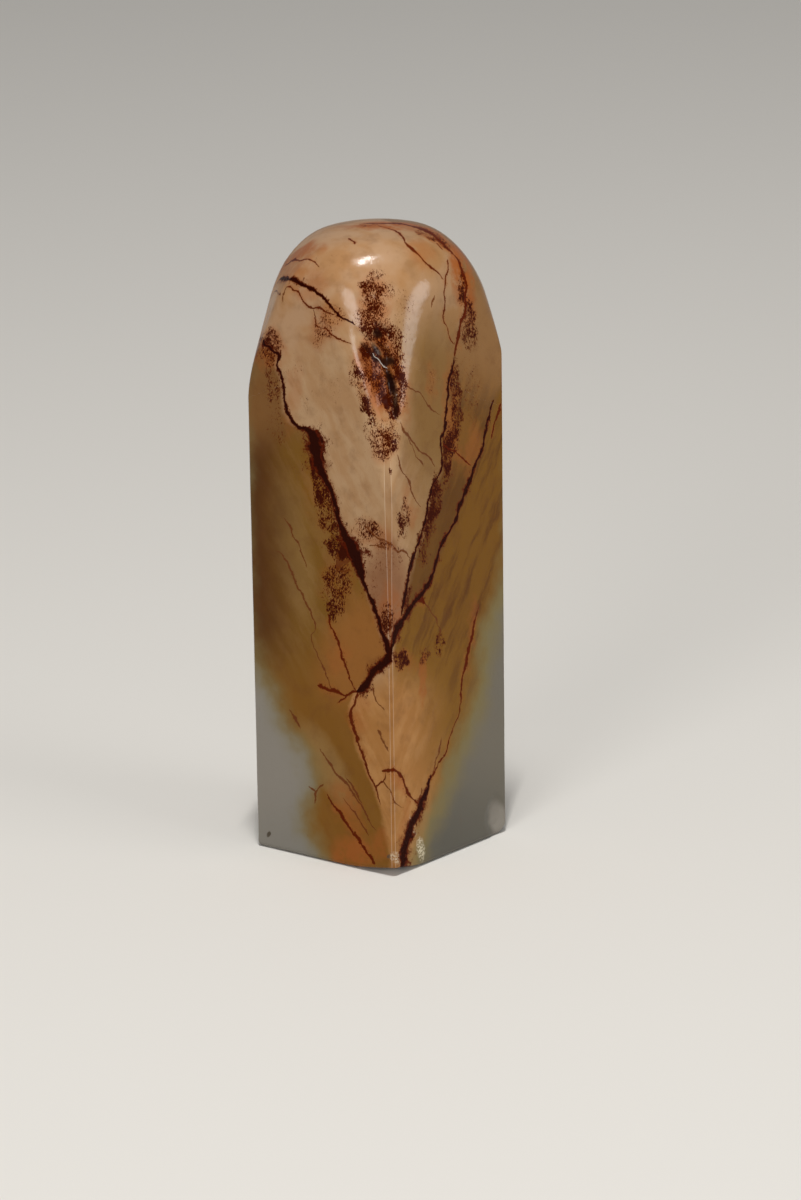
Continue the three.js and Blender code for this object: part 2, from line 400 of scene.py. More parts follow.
def dented(points):
    """The skin's points moved in by the dents, pits and the slight unevenness of hand polish."""
    normals = outward_normals(points)
    above_foot = smooth_step(points[:, 2], 0.2, 2)
    uneven = UNDULATION * (0.5 + 0.5 * lumps(points, UNDULATION_SIZE, 1, seed=1)) * above_foot
    depth = uneven + hollow_depth(points) + pitted_depth(points) + flake_depth(points)
    return points - normals * depth[:, None]


def new_object(name, data):
    piece = bpy.data.objects.new(name, data)
    bpy.context.scene.collection.objects.link(piece)
    return piece


def make_stone():
    points = dented(block_points())
    ring = 4 * SIDE_POINTS
    points[:ring, 2] = np.where(points[:ring, 2] < 0.01, 0, points[:ring, 2])
    mesh = bpy.data.meshes.new("seal_stone_skin")
    mesh.from_pydata((points * MM).tolist(), [], block_faces())
    mesh.validate()
    return new_object("seal_stone_polished", mesh)


def petal_outline():
    """A petal that points along X: one curved half and its mirror image."""
    root, tip, side = PETAL_START, PETAL_START + PETAL_LENGTH, PETAL_WIDTH / 2
    a, b = np.array([root, 0]), np.array([root + PETAL_LENGTH * 0.1, -side])
    c, d = np.array([tip - PETAL_LENGTH * 0.35, -side * 1.4]), np.array([tip, 0])
    t = np.linspace(0, 1, 22)[:, None]
    lower = a * (1 - t) ** 3 + 3 * b * t * (1 - t) ** 2 + 3 * c * t * t * (1 - t) + d * t ** 3
    return np.concatenate([lower, (lower * [1, -1])[-2:0:-1]])


def vein_outline():
    start, end = PETAL_START + PETAL_LENGTH * 0.25, PETAL_START + PETAL_LENGTH * 0.75
    t = np.linspace(0, 1, 12)
    x = start + (end - start) * t
    half = PETAL_VEIN / 2 * np.sin(np.pi * t) ** 0.8
    lower = np.column_stack([x, -half])
    return np.concatenate([lower, (lower * [1, -1])[-2:0:-1]])


def arc(centre, radius, start, end, count):
    turn = np.linspace(start, end, count)
    return np.asarray(centre) + radius * np.column_stack([np.cos(turn), np.sin(turn)])


def frame_outline(half_x, half_y):
    r = FRAME_CORNER_RADIUS
    corners = [(1, -1, -0.5), (1, 1, 0), (-1, 1, 0.5), (-1, -1, 1)]
    pieces = []
    for sign_x, sign_y, turn in corners:
        centre = (sign_x * (half_x - r), sign_y * (half_y - r))
        pieces.append(arc(centre, r, math.pi * turn, math.pi * (turn + 0.5), 10))
    corner_points = np.concatenate(pieces)
    filled = []
    for here, there in zip(corner_points, np.roll(corner_points, -1, axis=0)):
        count = max(1, int(np.linalg.norm(there - here) / FRAME_STEP))
        filled.extend(here + (there - here) * k / count for k in range(count))
    return np.array(filled)


def hand_cut(points):
    """An outline with the slight wobble of a hand-held graver."""
    noise.seed_set(WOBBLE_SEED)
    moved = [noise.noise_vector(Vector((x, y, WOBBLE_LEVEL)) / WOBBLE_SIZE)[:2] for x, y in points]
    return points + WOBBLE * np.array(moved)


def cutter(name, outlines, top, bottom=-1):
    """A straight-walled cutter between two heights, with any outline inside another as a hole."""
    curve = bpy.data.curves.new(name, "CURVE")
    curve.dimensions = "2D"
    curve.fill_mode = "BOTH"
    curve.extrude = (top - bottom) / 2 * MM
    for points in outlines:
        spline = curve.splines.new("POLY")
        spline.points.add(len(points) - 1)
        flat = np.column_stack([points * MM, np.zeros(len(points)), np.ones(len(points))])
        spline.points.foreach_set("co", flat.ravel())
        spline.use_cyclic_u = True
    shape = new_object(name, curve)
    shape.location.z = (top + bottom) / 2 * MM
    bpy.context.view_layer.update()
    mesh = bpy.data.meshes.new_from_object(shape.evaluated_get(bpy.context.evaluated_depsgraph_get()))
    mesh.transform(shape.matrix_world)
    bpy.data.objects.remove(shape)
    work = bmesh.new()
    work.from_mesh(mesh)
    bmesh.ops.remove_doubles(work, verts=work.verts, dist=MM * 1e-3)
    bmesh.ops.recalc_face_normals(work, faces=work.faces)
    work.to_mesh(mesh)
    work.free()
    return new_object(name, mesh)


def turned(points, degrees):
    turn = math.radians(degrees)
    return points @ np.array([[math.cos(turn), math.sin(turn)], [-math.sin(turn), math.cos(turn)]])


def carve(stone):
    """Cuts the ground of the seal face back from its frame, flower and corner leaves."""
    half_x = FOOT_X / 2 - FOOT_RADIUS - FRAME_WIDTH
    half_y = FOOT_Y / 2 - FOOT_RADIUS - FRAME_WIDTH
    ground = [frame_outline(half_x, half_y), arc((0, 0), BUD_RADIUS, 0, math.pi * 1.92, 24)]
    veins = []
    for k in range(PETALS):
        ground.append(turned(petal_outline(), 360 * k / PETALS))
        veins.append(turned(vein_outline(), 360 * k / PETALS))
    inner = LEAF_RADIUS - LEAF_WIDTH
    leaf = np.concatenate([
        arc((half_x, half_y), LEAF_RADIUS, math.pi * 1.1, math.pi * 1.4, 12),
        arc((half_x, half_y), inner, math.pi * 1.4, math.pi * 1.1, 10),
    ])
    ground += [leaf * sign for sign in ([1, 1], [-1, 1], [-1, -1], [1, -1])]
    for name, outlines in (("ground_cutter", ground), ("vein_cutter", veins)):
        tool = cutter(name, [hand_cut(points) for points in outlines], CARVING_DEPTH)
        cut = stone.modifiers.new(name, "BOOLEAN")
        cut.operation = "DIFFERENCE"
        cut.solver = "EXACT"
        cut.object = tool
        bpy.context.view_layer.update()
        carved = bpy.data.meshes.new_from_object(stone.evaluated_get(bpy.context.evaluated_depsgraph_get()))
        stone.modifiers.clear()
        stone.data = carved
        bpy.data.objects.remove(tool)
    stone.data.shade_smooth()
    stone.data.set_sharp_from_angle(angle=SHARP_ANGLE)


# The stone's pattern is laid out on its two front faces. "Across" is the distance in mm round the
# stone from its front edge, negative to the left. "Rise" is the height above the foot, plus half the
# distance round. Inside the stone the pattern runs straight back, as healed cracks do. The shift puts
# the front edge at 0 across, and the edge's distance from the middle makes it 0 round.
PATTERN_SHIFT = 0.5
PATTERN_EDGE = 25
PATTERN_SLOPE = 0.5

# How far the pattern is bent as it runs into the stone behind its middle, per mm
BACK_LIFT = 0.35
BACK_TURN = 0.25
BACK_BEND = 1.1
BACK_BEND_SIZE = 22

# Where the marks that belong to the front alone fade out, in mm behind the stone's middle
FRONT_ONLY = (4, 2)

# The small jags of the cracks: (size of a jag, how far it reaches)
JAGS = [(3, 1.0), (0.9, 0.45), (0.3, 0.2)]

# The widest half of a crack, and how a crack closes at its two ends
WIDEST_HALF = 2.0
END_SHARE = 0.01
END_HALF = 0.0005

# Sizes of the specks across, up and into the stone, and how thick they lie outside their patches
SPECK_SIZES = (0.22, 0.34, 0.5)
FLECKS = 0.06

# How far the edges of the patches and of the ground colours wander, and the size of their wandering
PATCH_WANDER = 3.2
PATCH_WANDER_SIZE = 2.2
GROUND_WANDER = 5
GROUND_WANDER_SIZE = 5

# Where an oval patch ends: the square of how far out that is, in its half widths and heights
PATCH_RIM = 1.3

# The cloudy streaks that run down towards the front edge
STREAK_SLOPE = 2
STREAK_WIDTH = 3.4
STREAK_LENGTH = 34

# How strongly the fine brown mottling shows
MOTTLE_STRENGTH = 0.24

# Cracks as (points from the top or left, widths in mm at equal steps from the first to the last)
DARK_CRACKS = {
    "upper left": (
        [(-17.6, 94.3), (-16.85, 92.1), (-15.9, 91.1), (-14.5, 89.6), (-12.9, 88.4), (-12, 87.5),
         (-10.2, 85.5), (-8.6, 83.6), (-7.95, 82.6), (-6.9, 82), (-5.8, 81.4), (-4.9, 80.8)],
        [0.45, 0.65, 0.7, 0.55, 0.4, 0.32, 0.25, 0.2]),
    "left border": (
        [(-21.6, 84.7), (-21.5, 83.5), (-20.5, 82.6), (-19.7, 81.6), (-18.9, 80.5), (-19.3, 79.3),
         (-18.9, 78.5), (-18.2, 76.7), (-18.1, 75.1), (-17.7, 72.8), (-17, 71), (-15.5, 69.5), (-14.4, 69),
         (-13.2, 67.3), (-12.6, 65.1), (-12.3, 63.4), (-11.6, 61.8), (-11.2, 60.7), (-9.8, 57.8),
         (-9.1, 55.3), (-8.4, 53.1), (-7.4, 50.9), (-6.3, 49), (-5.7, 47.8), (-5.3, 46.5), (-5, 45.3),
         (-4, 42.2), (-2.8, 39.25), (-1.8, 36.2), (-0.65, 33.2), (-0.4, 32.2)],
        [0.2, 0.4, 0.4, 0.3, 0.35, 0.3, 0.25, 0.25, 0.7, 1.7, 2.0, 1.5, 0.7, 0.6, 0.6, 0.7, 1.0, 1.4, 1.7,
         1.1, 0.7, 0.5, 0.45, 0.4, 0.45, 0.6, 0.9]),
    "right border": (
        [(23.7, 74.8), (22.4, 72.2), (21.4, 69.35), (20.2, 65.9), (18.8, 63.5), (17.5, 61), (16.2, 58.6),
         (15.4, 57.4), (14.8, 55.4), (13.7, 53.9), (11.85, 51.3), (10.5, 48.7), (9.4, 46.1), (7.9, 43.7),
         (5.67, 41.1), (3.4, 38.5), (1.35, 35.7), (0.3, 33.4)],
        [0.35, 0.3, 0.3, 0.5, 0.5, 0.42, 0.4, 0.45, 0.6, 0.9, 1.2]),
    "below the meeting": (
        [(-6.0, 28.6), (-5.35, 28.8), (-4.7, 29.2), (-4.06, 29.8), (-3.5, 30.4), (-2.8, 31), (-1.9, 31.3),
         (-0.85, 31.8), (-0.1, 32.6), (0.3, 33.4)], [0.4, 1.0, 1.4, 1.3, 1.2, 1.2, 1.1, 1.2]),
    "second border": (
        [(14.9, 78.5), (14.3, 76.4), (13.35, 73.4), (13.05, 70.7), (12.55, 67.85), (11.8, 65.4), (11.8, 63),
         (11.3, 60.85), (10, 59.2), (8.7, 56.7), (8.1, 54.4), (7.34, 51.8), (6.3, 49.25), (4.9, 46.6),
         (4.3, 45.3), (4, 43.8), (3, 40.8), (2.2, 38.2)],
        [0.35, 0.35, 0.3, 0.35, 0.3, 0.25, 0.3, 0.35, 0.45, 0.5, 0.5]),
    "foot": (
        [(8.4, 17), (8.07, 16), (7.75, 15.1), (7.4, 14.3), (6.87, 13.3), (6.2, 12.3), (5.65, 11.3),
         (5, 10.1), (4.3, 9.1), (3.7, 8), (3.1, 6.8), (2.7, 5.6), (2.4, 4.5), (2.1, 3.2), (1.9, 1)],
        [0.2, 0.6, 0.8, 1.0, 1.1, 1.2, 1.3, 1.1]),
}

RED_CRACKS = {
    "over the crown": (
        [(-2, 101.2), (0.3, 101.3), (2.2, 101.1), (5.7, 100.9), (7, 100.3), (9.3, 99.4), (10.6, 98.9),
         (12.2, 97.3), (13.8, 95.8), (15.4, 94.1)], [0.2, 0.4, 0.5, 0.5, 0.7, 0.8, 0.7]),
    "down the crown": (
        [(15.4, 94.1), (16.7, 92.5), (16.85, 91.1), (17.5, 89), (17.3, 87.7), (17.5, 86.6), (17.3, 85.1),
         (16.4, 83.7), (15.6, 81.1), (14.9, 78.5)], [0.7, 0.5, 0.4, 0.4, 0.5]),
    "crown diagonal": (
        [(1.3, 100.2), (2.7, 99.2), (4.25, 97.8), (5.5, 95.95), (6.15, 94), (7.85, 92.4), (9, 91.1),
         (10.95, 89.85), (12.8, 88.8)], [0.12, 0.18, 0.28, 0.28, 0.25, 0.22, 0.15]),
    "crown hairline": (
        [(14.05, 92.5), (14.05, 91.3), (13.2, 89.3), (12.85, 87), (12.75, 84.7), (12.6, 83.5), (12.8, 82.4),
         (13.65, 81.85), (13.8, 81), (14.3, 80.4), (15.2, 80.1)], [0.22, 0.28, 0.25, 0.22, 0.18]),
    "upper left second": (
        [(-17.2, 90.3), (-16.1, 89.35), (-15.3, 88.65), (-13.9, 86.2), (-12.6, 85.2), (-12, 85.15),
         (-10.35, 84.05), (-8.6, 83)], [0.25, 0.25, 0.22, 0.22, 0.22, 0.15]),
    "to the hollow": (
        [(-12.4, 85.1), (-12.2, 83.9), (-12.1, 82.7), (-10.9, 81.6), (-9.6, 80.4), (-8.2, 79.4), (-7, 78.8),
         (-5.9, 78)], [0.1, 0.12, 0.12, 0.15, 0.15, 0.2]),
    "top left": (
        [(-15.6, 97.3), (-14.7, 95.2), (-13.9, 94.4), (-12.6, 93.2), (-11, 91.4)], [0.3, 0.35, 0.25, 0.1]),
    "right edge strand": ([(25, 74.75), (24.1, 72.2), (23.5, 71.1), (22.95, 68.95)], [0.35, 0.3, 0.15]),
    "link": ([(12.1, 65.5), (12.7, 65.05), (14.7, 64.85), (16.45, 64.4), (18.2, 64)], [0.25, 0.28, 0.2]),
    "left branch": (
        [(-13.05, 31.85), (-12.25, 31.3), (-10.67, 30.4), (-9.25, 29.7), (-8.7, 29.3), (-7.85, 28.9),
         (-6.8, 28.8), (-5.9, 28.6)], [0.3, 0.45, 0.4, 0.35, 0.4]),
    "left branch second": ([(-9.5, 28.1), (-8.57, 28.4), (-8, 28.7), (-7.2, 28.9)], [0.15, 0.3, 0.2]),
    "down branch": (
        [(-5.9, 28.4), (-6.45, 26.9), (-7.3, 25.7), (-7.2, 24.9), (-6.45, 22.7), (-5.4, 20.4),
         (-4.85, 18.45), (-3.9, 16), (-3.1, 14), (-2.6, 12.5), (-2.1, 11.1)],
        [0.3, 0.55, 0.4, 0.28, 0.28, 0.3, 0.28, 0.15]),
    "right crack": (
        [(19.85, 44.6), (19, 42.4), (18.25, 40.1), (17.35, 37.6), (16.3, 34.2), (15.7, 31.9), (15.1, 28.3),
         (14, 25.7), (12.86, 23.1), (11.6, 20.7), (9.9, 18.7), (8.4, 16.4), (7.8, 15.4)],
        [0.12, 0.3, 0.38, 0.38, 0.3, 0.25, 0.2, 0.2, 0.22, 0.35]),
    "arch": (
        [(-1.95, 15.94), (-0.96, 15.73), (0, 15.68), (0.8, 15.5), (1.7, 15.1), (2.3, 14.54), (2.8, 13.9),
         (3.1, 13.35), (3.85, 12.8), (4.75, 12.36), (5.8, 12.1)], [0.2, 0.38, 0.42, 0.4, 0.35, 0.28, 0.2]),
    "arch link": (
        [(-3.05, 14.05), (-2.4, 14.2), (-1.6, 14.4), (-1.3, 14.8), (-1.1, 15.4)], [0.4, 0.35, 0.2, 0.12]),
    "foot left": (
        [(-11.73, 15.7), (-10.86, 14.1), (-10.25, 13.3), (-9.46, 12.3), (-8.07, 10.1), (-6.85, 8.3),
         (-5.46, 6.1), (-4.58, 4.9), (-4.06, 4.1), (-3.4, 3)],
        [0.2, 0.25, 0.35, 0.3, 0.25, 0.25, 0.25, 0.35, 0.5]),
    "middle left": (
        [(-11.3, 41.5), (-10.3, 39), (-9.65, 37.5), (-8.8, 35.8), (-8.45, 34.15), (-7.43, 31.9),
         (-6.5, 29.6), (-6, 28.7)], [0.12, 0.2, 0.22, 0.35, 0.35, 0.2, 0.2]),
    "crown scratch": ([(-4.9, 96.9), (-4.6, 96.2), (-4.2, 95.6), (-4.1, 94.8)], [0.3, 0.3, 0.15]),
    "crown scratch right": ([(12.1, 95.7), (12.6, 95), (13.3, 94.3)], [0.25, 0.2]),
    "wedge": ([(7.7, 41.3), (7, 41.7), (6.2, 41.6), (5.6, 41.3)], [0.2, 0.9, 0.5]),
}

FINE_CRACKS = {
    "left long": (
        [(-20.1, 53.7), (-18.2, 51.7), (-17.35, 49.7), (-16.2, 47.1), (-14.65, 44.2), (-13.45, 41.8),
         (-12.95, 40.5), (-14, 39), (-13.4, 36.9), (-11.5, 32.7), (-10.75, 30.55)],
        [0.1, 0.25, 0.3, 0.3, 0.28, 0.15, 0.15, 0.2, 0.12]),
    "left high": (
        [(-18.6, 57.8), (-17.4, 56), (-16.55, 54.1), (-15.7, 52.7), (-15, 50.9), (-14.5, 49.4)],
        [0.1, 0.25, 0.2, 0.1]),
    "left low": ([(-18.2, 30), (-17, 27.9), (-16.1, 26.6)], [0.15, 0.35, 0.1]),
    "foot pair": (
        [(-12.8, 22.7), (-10.92, 19.93), (-9.2, 17.6), (-8.5, 16.8), (-7.4, 15.1), (-6.2, 13.3), (-5, 11.2),
         (-3.6, 8.8), (-2.9, 7.7)], [0.12, 0.28, 0.32, 0.28, 0.24, 0.22, 0.2, 0.1]),
    "foot pair second": (
        [(-8.2, 17.1), (-7.23, 15.73), (-6.54, 14.62), (-6.0, 13.73), (-5.3, 12.2)],
        [0.15, 0.28, 0.25, 0.12]),
    "foot faint": (
        [(-8.88, 14.6), (-7.7, 12.5), (-6.6, 10.7), (-5.4, 9.1), (-4.4, 7.3)], [0.1, 0.2, 0.2, 0.12]),
    "foot fork": (
        [(-12.35, 17.5), (-12.9, 17.05), (-13.65, 16.7), (-13.8, 16), (-14.1, 15)], [0.3, 0.35, 0.3, 0.12]),
    "foot fork left": ([(-14.7, 18), (-14.2, 17.4), (-13.75, 16.8)], [0.15, 0.28, 0.25]),
    "beside the edge": ([(-3.55, 28.4), (-2.5, 26.1), (-1.1, 24.6)], [0.12, 0.22, 0.12]),
    "beside the edge low": ([(-2.8, 22.4), (-2.1, 21), (-0.5, 18.4)], [0.1, 0.22, 0.12]),
    "under the arch": (
        [(-1.5, 14.3), (-0.96, 13.5), (-0.43, 12.5), (-0.07, 11.8), (0.3, 11.1), (1.2, 10.8), (2.1, 10.7)],
        [0.25, 0.22, 0.2, 0.12]),
    "right long": (
        [(2.9, 66), (3.35, 64.8), (5.2, 63.8), (6.1, 63.3), (7.8, 62.6), (9.55, 62.05), (10.4, 61.5)],
        [0.3, 0.35, 0.32, 0.3, 0.2]),
    "right long second": ([(4.5, 63.75), (5.4, 62.9), (6.5, 61.8), (7.55, 60.65)], [0.15, 0.22, 0.1]),
    "right short": (
        [(1.8, 61), (2.2, 60.1), (2.4, 59.2), (4.4, 58), (4.9, 57.2), (5.2, 56.3), (5.9, 55.6),
         (6.95, 54.9)], [0.2, 0.35, 0.35, 0.3, 0.15]),
    "right dotted": ([(4.4, 71.6), (7.2, 71), (8.65, 69.8), (11.75, 69.2)], [0.15, 0.2, 0.2, 0.1]),
    "across": (
        [(-4.2, 51.8), (-3.1, 50.6), (-2.2, 49.3), (-1.15, 48.5), (0.8, 47.6), (1.7, 47.1), (3.2, 47.6),
         (4.5, 46.9), (5, 46.7)], [0.2, 0.28, 0.3, 0.28, 0.3, 0.2]),
    "across second": ([(-3.65, 48.8), (-2.75, 48.35), (-1.85, 47.7), (-0.9, 47.2)], [0.12, 0.25, 0.12]),
    "loop": (
        [(-9.6, 46.7), (-9.5, 47.8), (-8.3, 47.9), (-7.4, 47.8), (-6.7, 47.75)], [0.15, 0.35, 0.3, 0.3]),
    "loop second": ([(-8.9, 47), (-7.65, 46.6), (-6.75, 46.6)], [0.15, 0.35, 0.3]),
    "right of the meeting": (
        [(7.4, 41.6), (8.3, 41), (9.15, 40.5), (9.95, 40), (10.4, 39.1), (11, 38.4), (10.7, 36.6)],
        [0.3, 0.25, 0.25, 0.1]),
    "right foot strand": (
        [(11.06, 23), (10.6, 21.3), (10, 20), (9.4, 18.8), (8.75, 17.4)], [0.1, 0.2, 0.2, 0.12]),
    "foot inner strand": ([(6.3, 14.6), (6, 13.2), (5.6, 12.3)], [0.2, 0.3, 0.25]),
    "upper left down": ([(-17.2, 90.5), (-17.7, 89.4), (-18, 88)], [0.2, 0.22, 0.1]),
    "upper left edge": ([(-18.9, 93), (-18.5, 91), (-18.2, 89.3)], [0.15, 0.22, 0.1]),
    "crown faint": ([(10.5, 85.9), (10.1, 84.9), (9.85, 83.8)], [0.1, 0.2, 0.1]),
}

# Patches of brown specks: (across, rise, half width, half height, turn in degrees, how thick)
SPECKLED = [
    (-2.4, 87, 2.1, 1.7, 0, 0.95), (-0.8, 88.6, 2.6, 1.6, 30, 0.75), (-1.6, 84.8, 2.6, 3.2, 0, 1.0),
    (1, 85.8, 3, 2, 20, 0.65), (-2.1, 82, 3.6, 3, 0, 0.85), (-1.5, 79.8, 3.4, 2.4, 0, 1.05),
    (2.2, 79, 1.7, 3.8, 25, 0.9), (3.2, 75.6, 1.6, 3.2, 15, 1.05), (2.8, 72, 1.6, 5, 12, 1.1),
    (1.4, 68.4, 2.1, 3.4, 10, 1.25), (-0.6, 71.6, 2.8, 5.8, 20, 0.95), (-2.6, 76.4, 2.8, 2, -30, 1.1),
    (-5.2, 73.6, 0.9, 2.8, 12, 0.95), (-4.2, 69.8, 1.1, 3.4, 14, 1.1), (-3.2, 66.8, 1.1, 2.6, 0, 1.1),
    (-0.3, 63.6, 3.8, 3.8, 0, 0.85), (4.6, 84, 2.2, 2.2, 0, 0.45), (0.6, 77.4, 2.6, 1.8, -20, 0.85),
    (-2, 73.2, 2.8, 4.8, 22, 0.95), (-4.6, 71.6, 1.4, 5.2, 14, 0.8), (4.4, 80.6, 2.4, 5.6, 0, 0.35),
    (-10.6, 82, 3, 3, 20, 0.65), (-8.2, 83.4, 3.4, 1.6, -40, 0.6), (-20.5, 82.6, 2.4, 3.6, 35, 0.9),
    (-19.9, 77.5, 1.9, 5.2, 0, 0.7), (-19.4, 71, 1.9, 4.2, 20, 0.5), (-12.4, 65.2, 1.2, 3.2, -5, 2.0),
    (-12.2, 61.2, 1.6, 3, 10, 0.95), (-11.2, 57, 2.4, 6.4, 18, 0.95), (-9, 51.5, 2.4, 3.8, 25, 1.0),
    (-7.3, 49.3, 1.8, 2.6, 20, 1.5), (-9.4, 45, 3, 4.6, 15, 0.9), (-10, 41.8, 2, 2.8, 30, 0.9),
    (14.8, 72, 1.8, 8.4, 0, 0.95), (13.2, 64, 1.9, 5.4, -8, 1.05), (18.4, 84.4, 2.1, 4.4, 10, 0.95),
    (16.9, 89.5, 1.4, 5, 0, 0.9), (17.8, 81.5, 1.6, 2.4, 0, 0.95), (10.1, 55.8, 2, 5, -15, 1.2),
    (7.8, 50, 1.8, 4.6, -20, 0.9), (18.4, 74, 2.8, 6.4, 0, 0.45), (2.4, 32, 2.8, 1.6, 0, 1.1),
    (7.3, 34, 2, 1.6, 30, 0.8), (10.8, 36.6, 1.4, 2.6, -15, 0.8), (-0.5, 37, 2.2, 3.4, 0, 0.95),
    (-0.8, 46, 3.8, 3.8, 0, 0.4), (-3.8, 51, 3.2, 1.6, -38, 0.85), (0.2, 47.6, 3.2, 1.3, -25, 0.8),
    (3.1, 52.5, 1.5, 4, -10, 0.85), (12, 97.4, 5.4, 1.8, -32, 0.85), (-0.5, 3, 1.8, 1.6, 0, 0.5),
    (9.7, 73, 1.4, 3.4, 0, 0.5), (0, 100.8, 3.4, 1.2, 0, 0.6), (0.3, 58.2, 0.9, 0.8, 0, 0.95),
    (-16.5, 78, 3, 2, 0, 0.3), (-14.3, 72.4, 1.3, 1.8, 0, 0.4), (-9, 73, 2, 3, 0, 0.3),
    (3.6, 40.5, 1.2, 3.6, -25, 0.9), (-3.2, 42, 1.6, 3, 15, 0.45), (-10.2, 93, 3, 2, -30, 0.3),
]

# Orange iron stain: (across, rise, half width, half height, turn, strength)
STAINED = [
    (-14, 97.6, 5, 2.4, -25, 0.85), (-15, 94, 3, 5, -10, 0.5), (-10.6, 82.4, 3.4, 3.6, 0, 0.5),
    (-9.2, 34.5, 2.8, 2.2, 0, 0.25), (9.7, 73, 1.6, 3.4, 0, 0.35), (4.4, 54, 1.8, 3.4, 0, 0.4),
    (-7.5, 5.4, 4.4, 3.4, -35, 0.7), (-8, 12.5, 2.2, 6, 32, 0.5), (7, 30.5, 0.9, 4.5, 0, 0.6),
    (-16.4, 74, 1.6, 6, -10, 0.28), (2.2, 8, 1.1, 4, -15, 0.35), (-2.6, 5.5, 2.2, 2.4, 0, 0.5),
    (18.2, 41.5, 1.2, 4, -8, 0.35), (17, 91, 2.8, 8, 10, 0.95), (8.5, 93, 3, 3.5, 0, 0.35),
    (-13, 89, 4, 3, -20, 0.4), (13.8, 70, 1.8, 9, 0, 0.45), (-5.3, 25.2, 2, 3, 0, 0.35),
    (3, 100.6, 9, 2.2, -3, 1.0), (12, 98, 6, 2.4, -38, 0.95), (-1.4, 83.4, 3.6, 6.5, 0, 0.6),
    (-0.4, 62.8, 3, 3.6, 0, 0.35), (-20.4, 82.4, 2.6, 4, 35, 0.6), (1.1, 14, 2.2, 1.6, -20, 0.45),
    (-0.4, 73, 5.4, 8.5, 14, 0.9), (2.6, 72, 2.2, 7, 12, 0.8), (-2.4, 49.6, 5, 2, -35, 0.45),
    (-0.8, 77.8, 2.4, 1.6, -20, 0.9), (0, 38.5, 3, 4, 0, 0.5), (3, 32, 3.6, 1.8, 0, 0.4),
    (-12, 58, 2.6, 7, 20, 0.2), (-9, 46, 3.4, 5, 15, 0.3), (14.8, 64.8, 3, 1.6, -10, 0.3),
    (18.5, 66, 1.8, 5, -20, 0.35),
]


def border(below, cracks, above):
    """The (rise, across) line of a ground colour's border: some points, cracks and more points."""
    followed = {(rise, across) for points, _ in cracks for across, rise in points}
    return below + sorted(followed) + above


# Borders of the ground colours, as (rise, across) from the foot up. Three of them follow cracks.
LEFT_BORDER = border(
    [(4, -0.5), (9, -1.5), (12.2, -2.5), (17.2, -4.3), (22.7, -6.4), (25.8, -7.2), (28.6, -6),
     (29.5, -4.5)],
    [DARK_CRACKS["left border"]], [(87, -26)])
STRIP_BORDER = border(
    [(24, 0), (33, 1)], [DARK_CRACKS["second border"], RED_CRACKS["down the crown"]], [(99, 11), (101, 4)])
RIGHT_BORDER = border([(24, 0)], [DARK_CRACKS["right border"]], [(80, 26)])
GREY_LEFT = [
    (3, -11.5), (7, -12.6), (9.7, -13.9), (13, -15.3), (16, -15), (18.4, -14), (25, -16.6), (31, -20),
    (38, -23), (43, -25.5),
]
GREY_RIGHT = [
    (2, 3.6), (6, 5.2), (10, 7), (16, 10.4), (22, 14), (28, 17), (34, 18.8), (43, 21.6), (50, 24.6),
    (60, 27),
]

# The hollow's orange wall; its pinkish edge, a painted highlight along its left lip; and its dark parts,
# partly
#  dark stain and partly painted shade in its slot, its pocket and under its lip; as patches like the others
HOLLOW_WALL = [
    (-1.6, 72.6, 2.6, 6, 24, 0.85), (0.6, 77.4, 2.4, 1.2, -24, 0.6), (-3.6, 76, 1.6, 1.8, 20, 0.7),
]
HOLLOW_LIP_HIGHLIGHT = [(-4, 73.4, 0.45, 4.2, 25, 0.7), (-2.1, 69, 0.45, 3, 22, 0.4)]
HOLLOW_STAIN_AND_SHADE = [
    (-1.2, 77.1, 1.4, 0.55, -36, 0.85), (1.3, 72, 0.9, 3.2, 18, 1.0), (0.7, 75.3, 2.1, 0.9, -22, 0.95),
    (-3.2, 77.5, 1.6, 0.6, -34, 0.6), (-1.1, 79.3, 1.2, 0.9, -20, 0.95), (-1.8, 76.2, 1.5, 0.6, -45, 0.8),
    (2, 68.6, 0.7, 2.4, 8, 0.85),
]

# The thin bright line where the hollow's lip catches the light, as a crack like the others
GLINT = ([(-2, 76.7), (-1, 75.8), (0, 75), (0.9, 74.2)], [0.08, 0.15, 0.15, 0.1])

# Painted light makes the flake's scoop paler where it faces the light. Small grey spots and pale crystals
# lie near the foot.
CHIP_HIGHLIGHT = [(23.7, 14, 2.4, 3, 8, 0.85)]
GREY_SPOTS = [(-22.2, 13.3, 0.36, 0.36, 0, 1.0), (-0.9, 3.2, 0.4, 0.3, 0, 0.8)]
CRYSTALS = [(5.9, 5.6, 1, 1.8, 0, 0.95), (0.4, 2.9, 1.2, 1, 0, 0.8), (4.2, 8.5, 0.8, 1.6, 20, 0.4)]

# Patches in the ground: pinkish over the meeting of the cracks, a dark band at the right, and orange
# and pale ones at the left
PINKISH_PATCH = [(-0.6, 41.5, 6, 8.5, 0, 0.9)]
DARK_BAND = [(13.7, 45, 2.2, 22, 0, 0.5)]
ORANGE_PATCH = [(-5.5, 34.5, 8.5, 9, 0, 0.9)]
PALE_PATCHES = [(-11.6, 20, 2.4, 10, 30, 0.6), (-17, 53, 3.4, 13, 12, 0.4)]

# The ridges beside the front flat, which the hand has rubbed glossier, and how much light the plain
# stone, the ridges and the cracks give back
RIDGES = [(5.9, 79, 2.4, 13, -17, 1.0), (-5.4, 80, 2, 10, 11, 0.75)]
GLOSS = 0.117
RIDGE_GLOSS = 0.3
DULL_GLOSS = 0.03

# Roughness of the polished stone and of its specks
POLISHED = 0.15
SPECK_ROUGHNESS = 0.3

# The faint waviness of the polish
WAVE_HEIGHT = 0.04
WAVE_SIZE = 0.9
WAVE_STRENGTH = 0.5

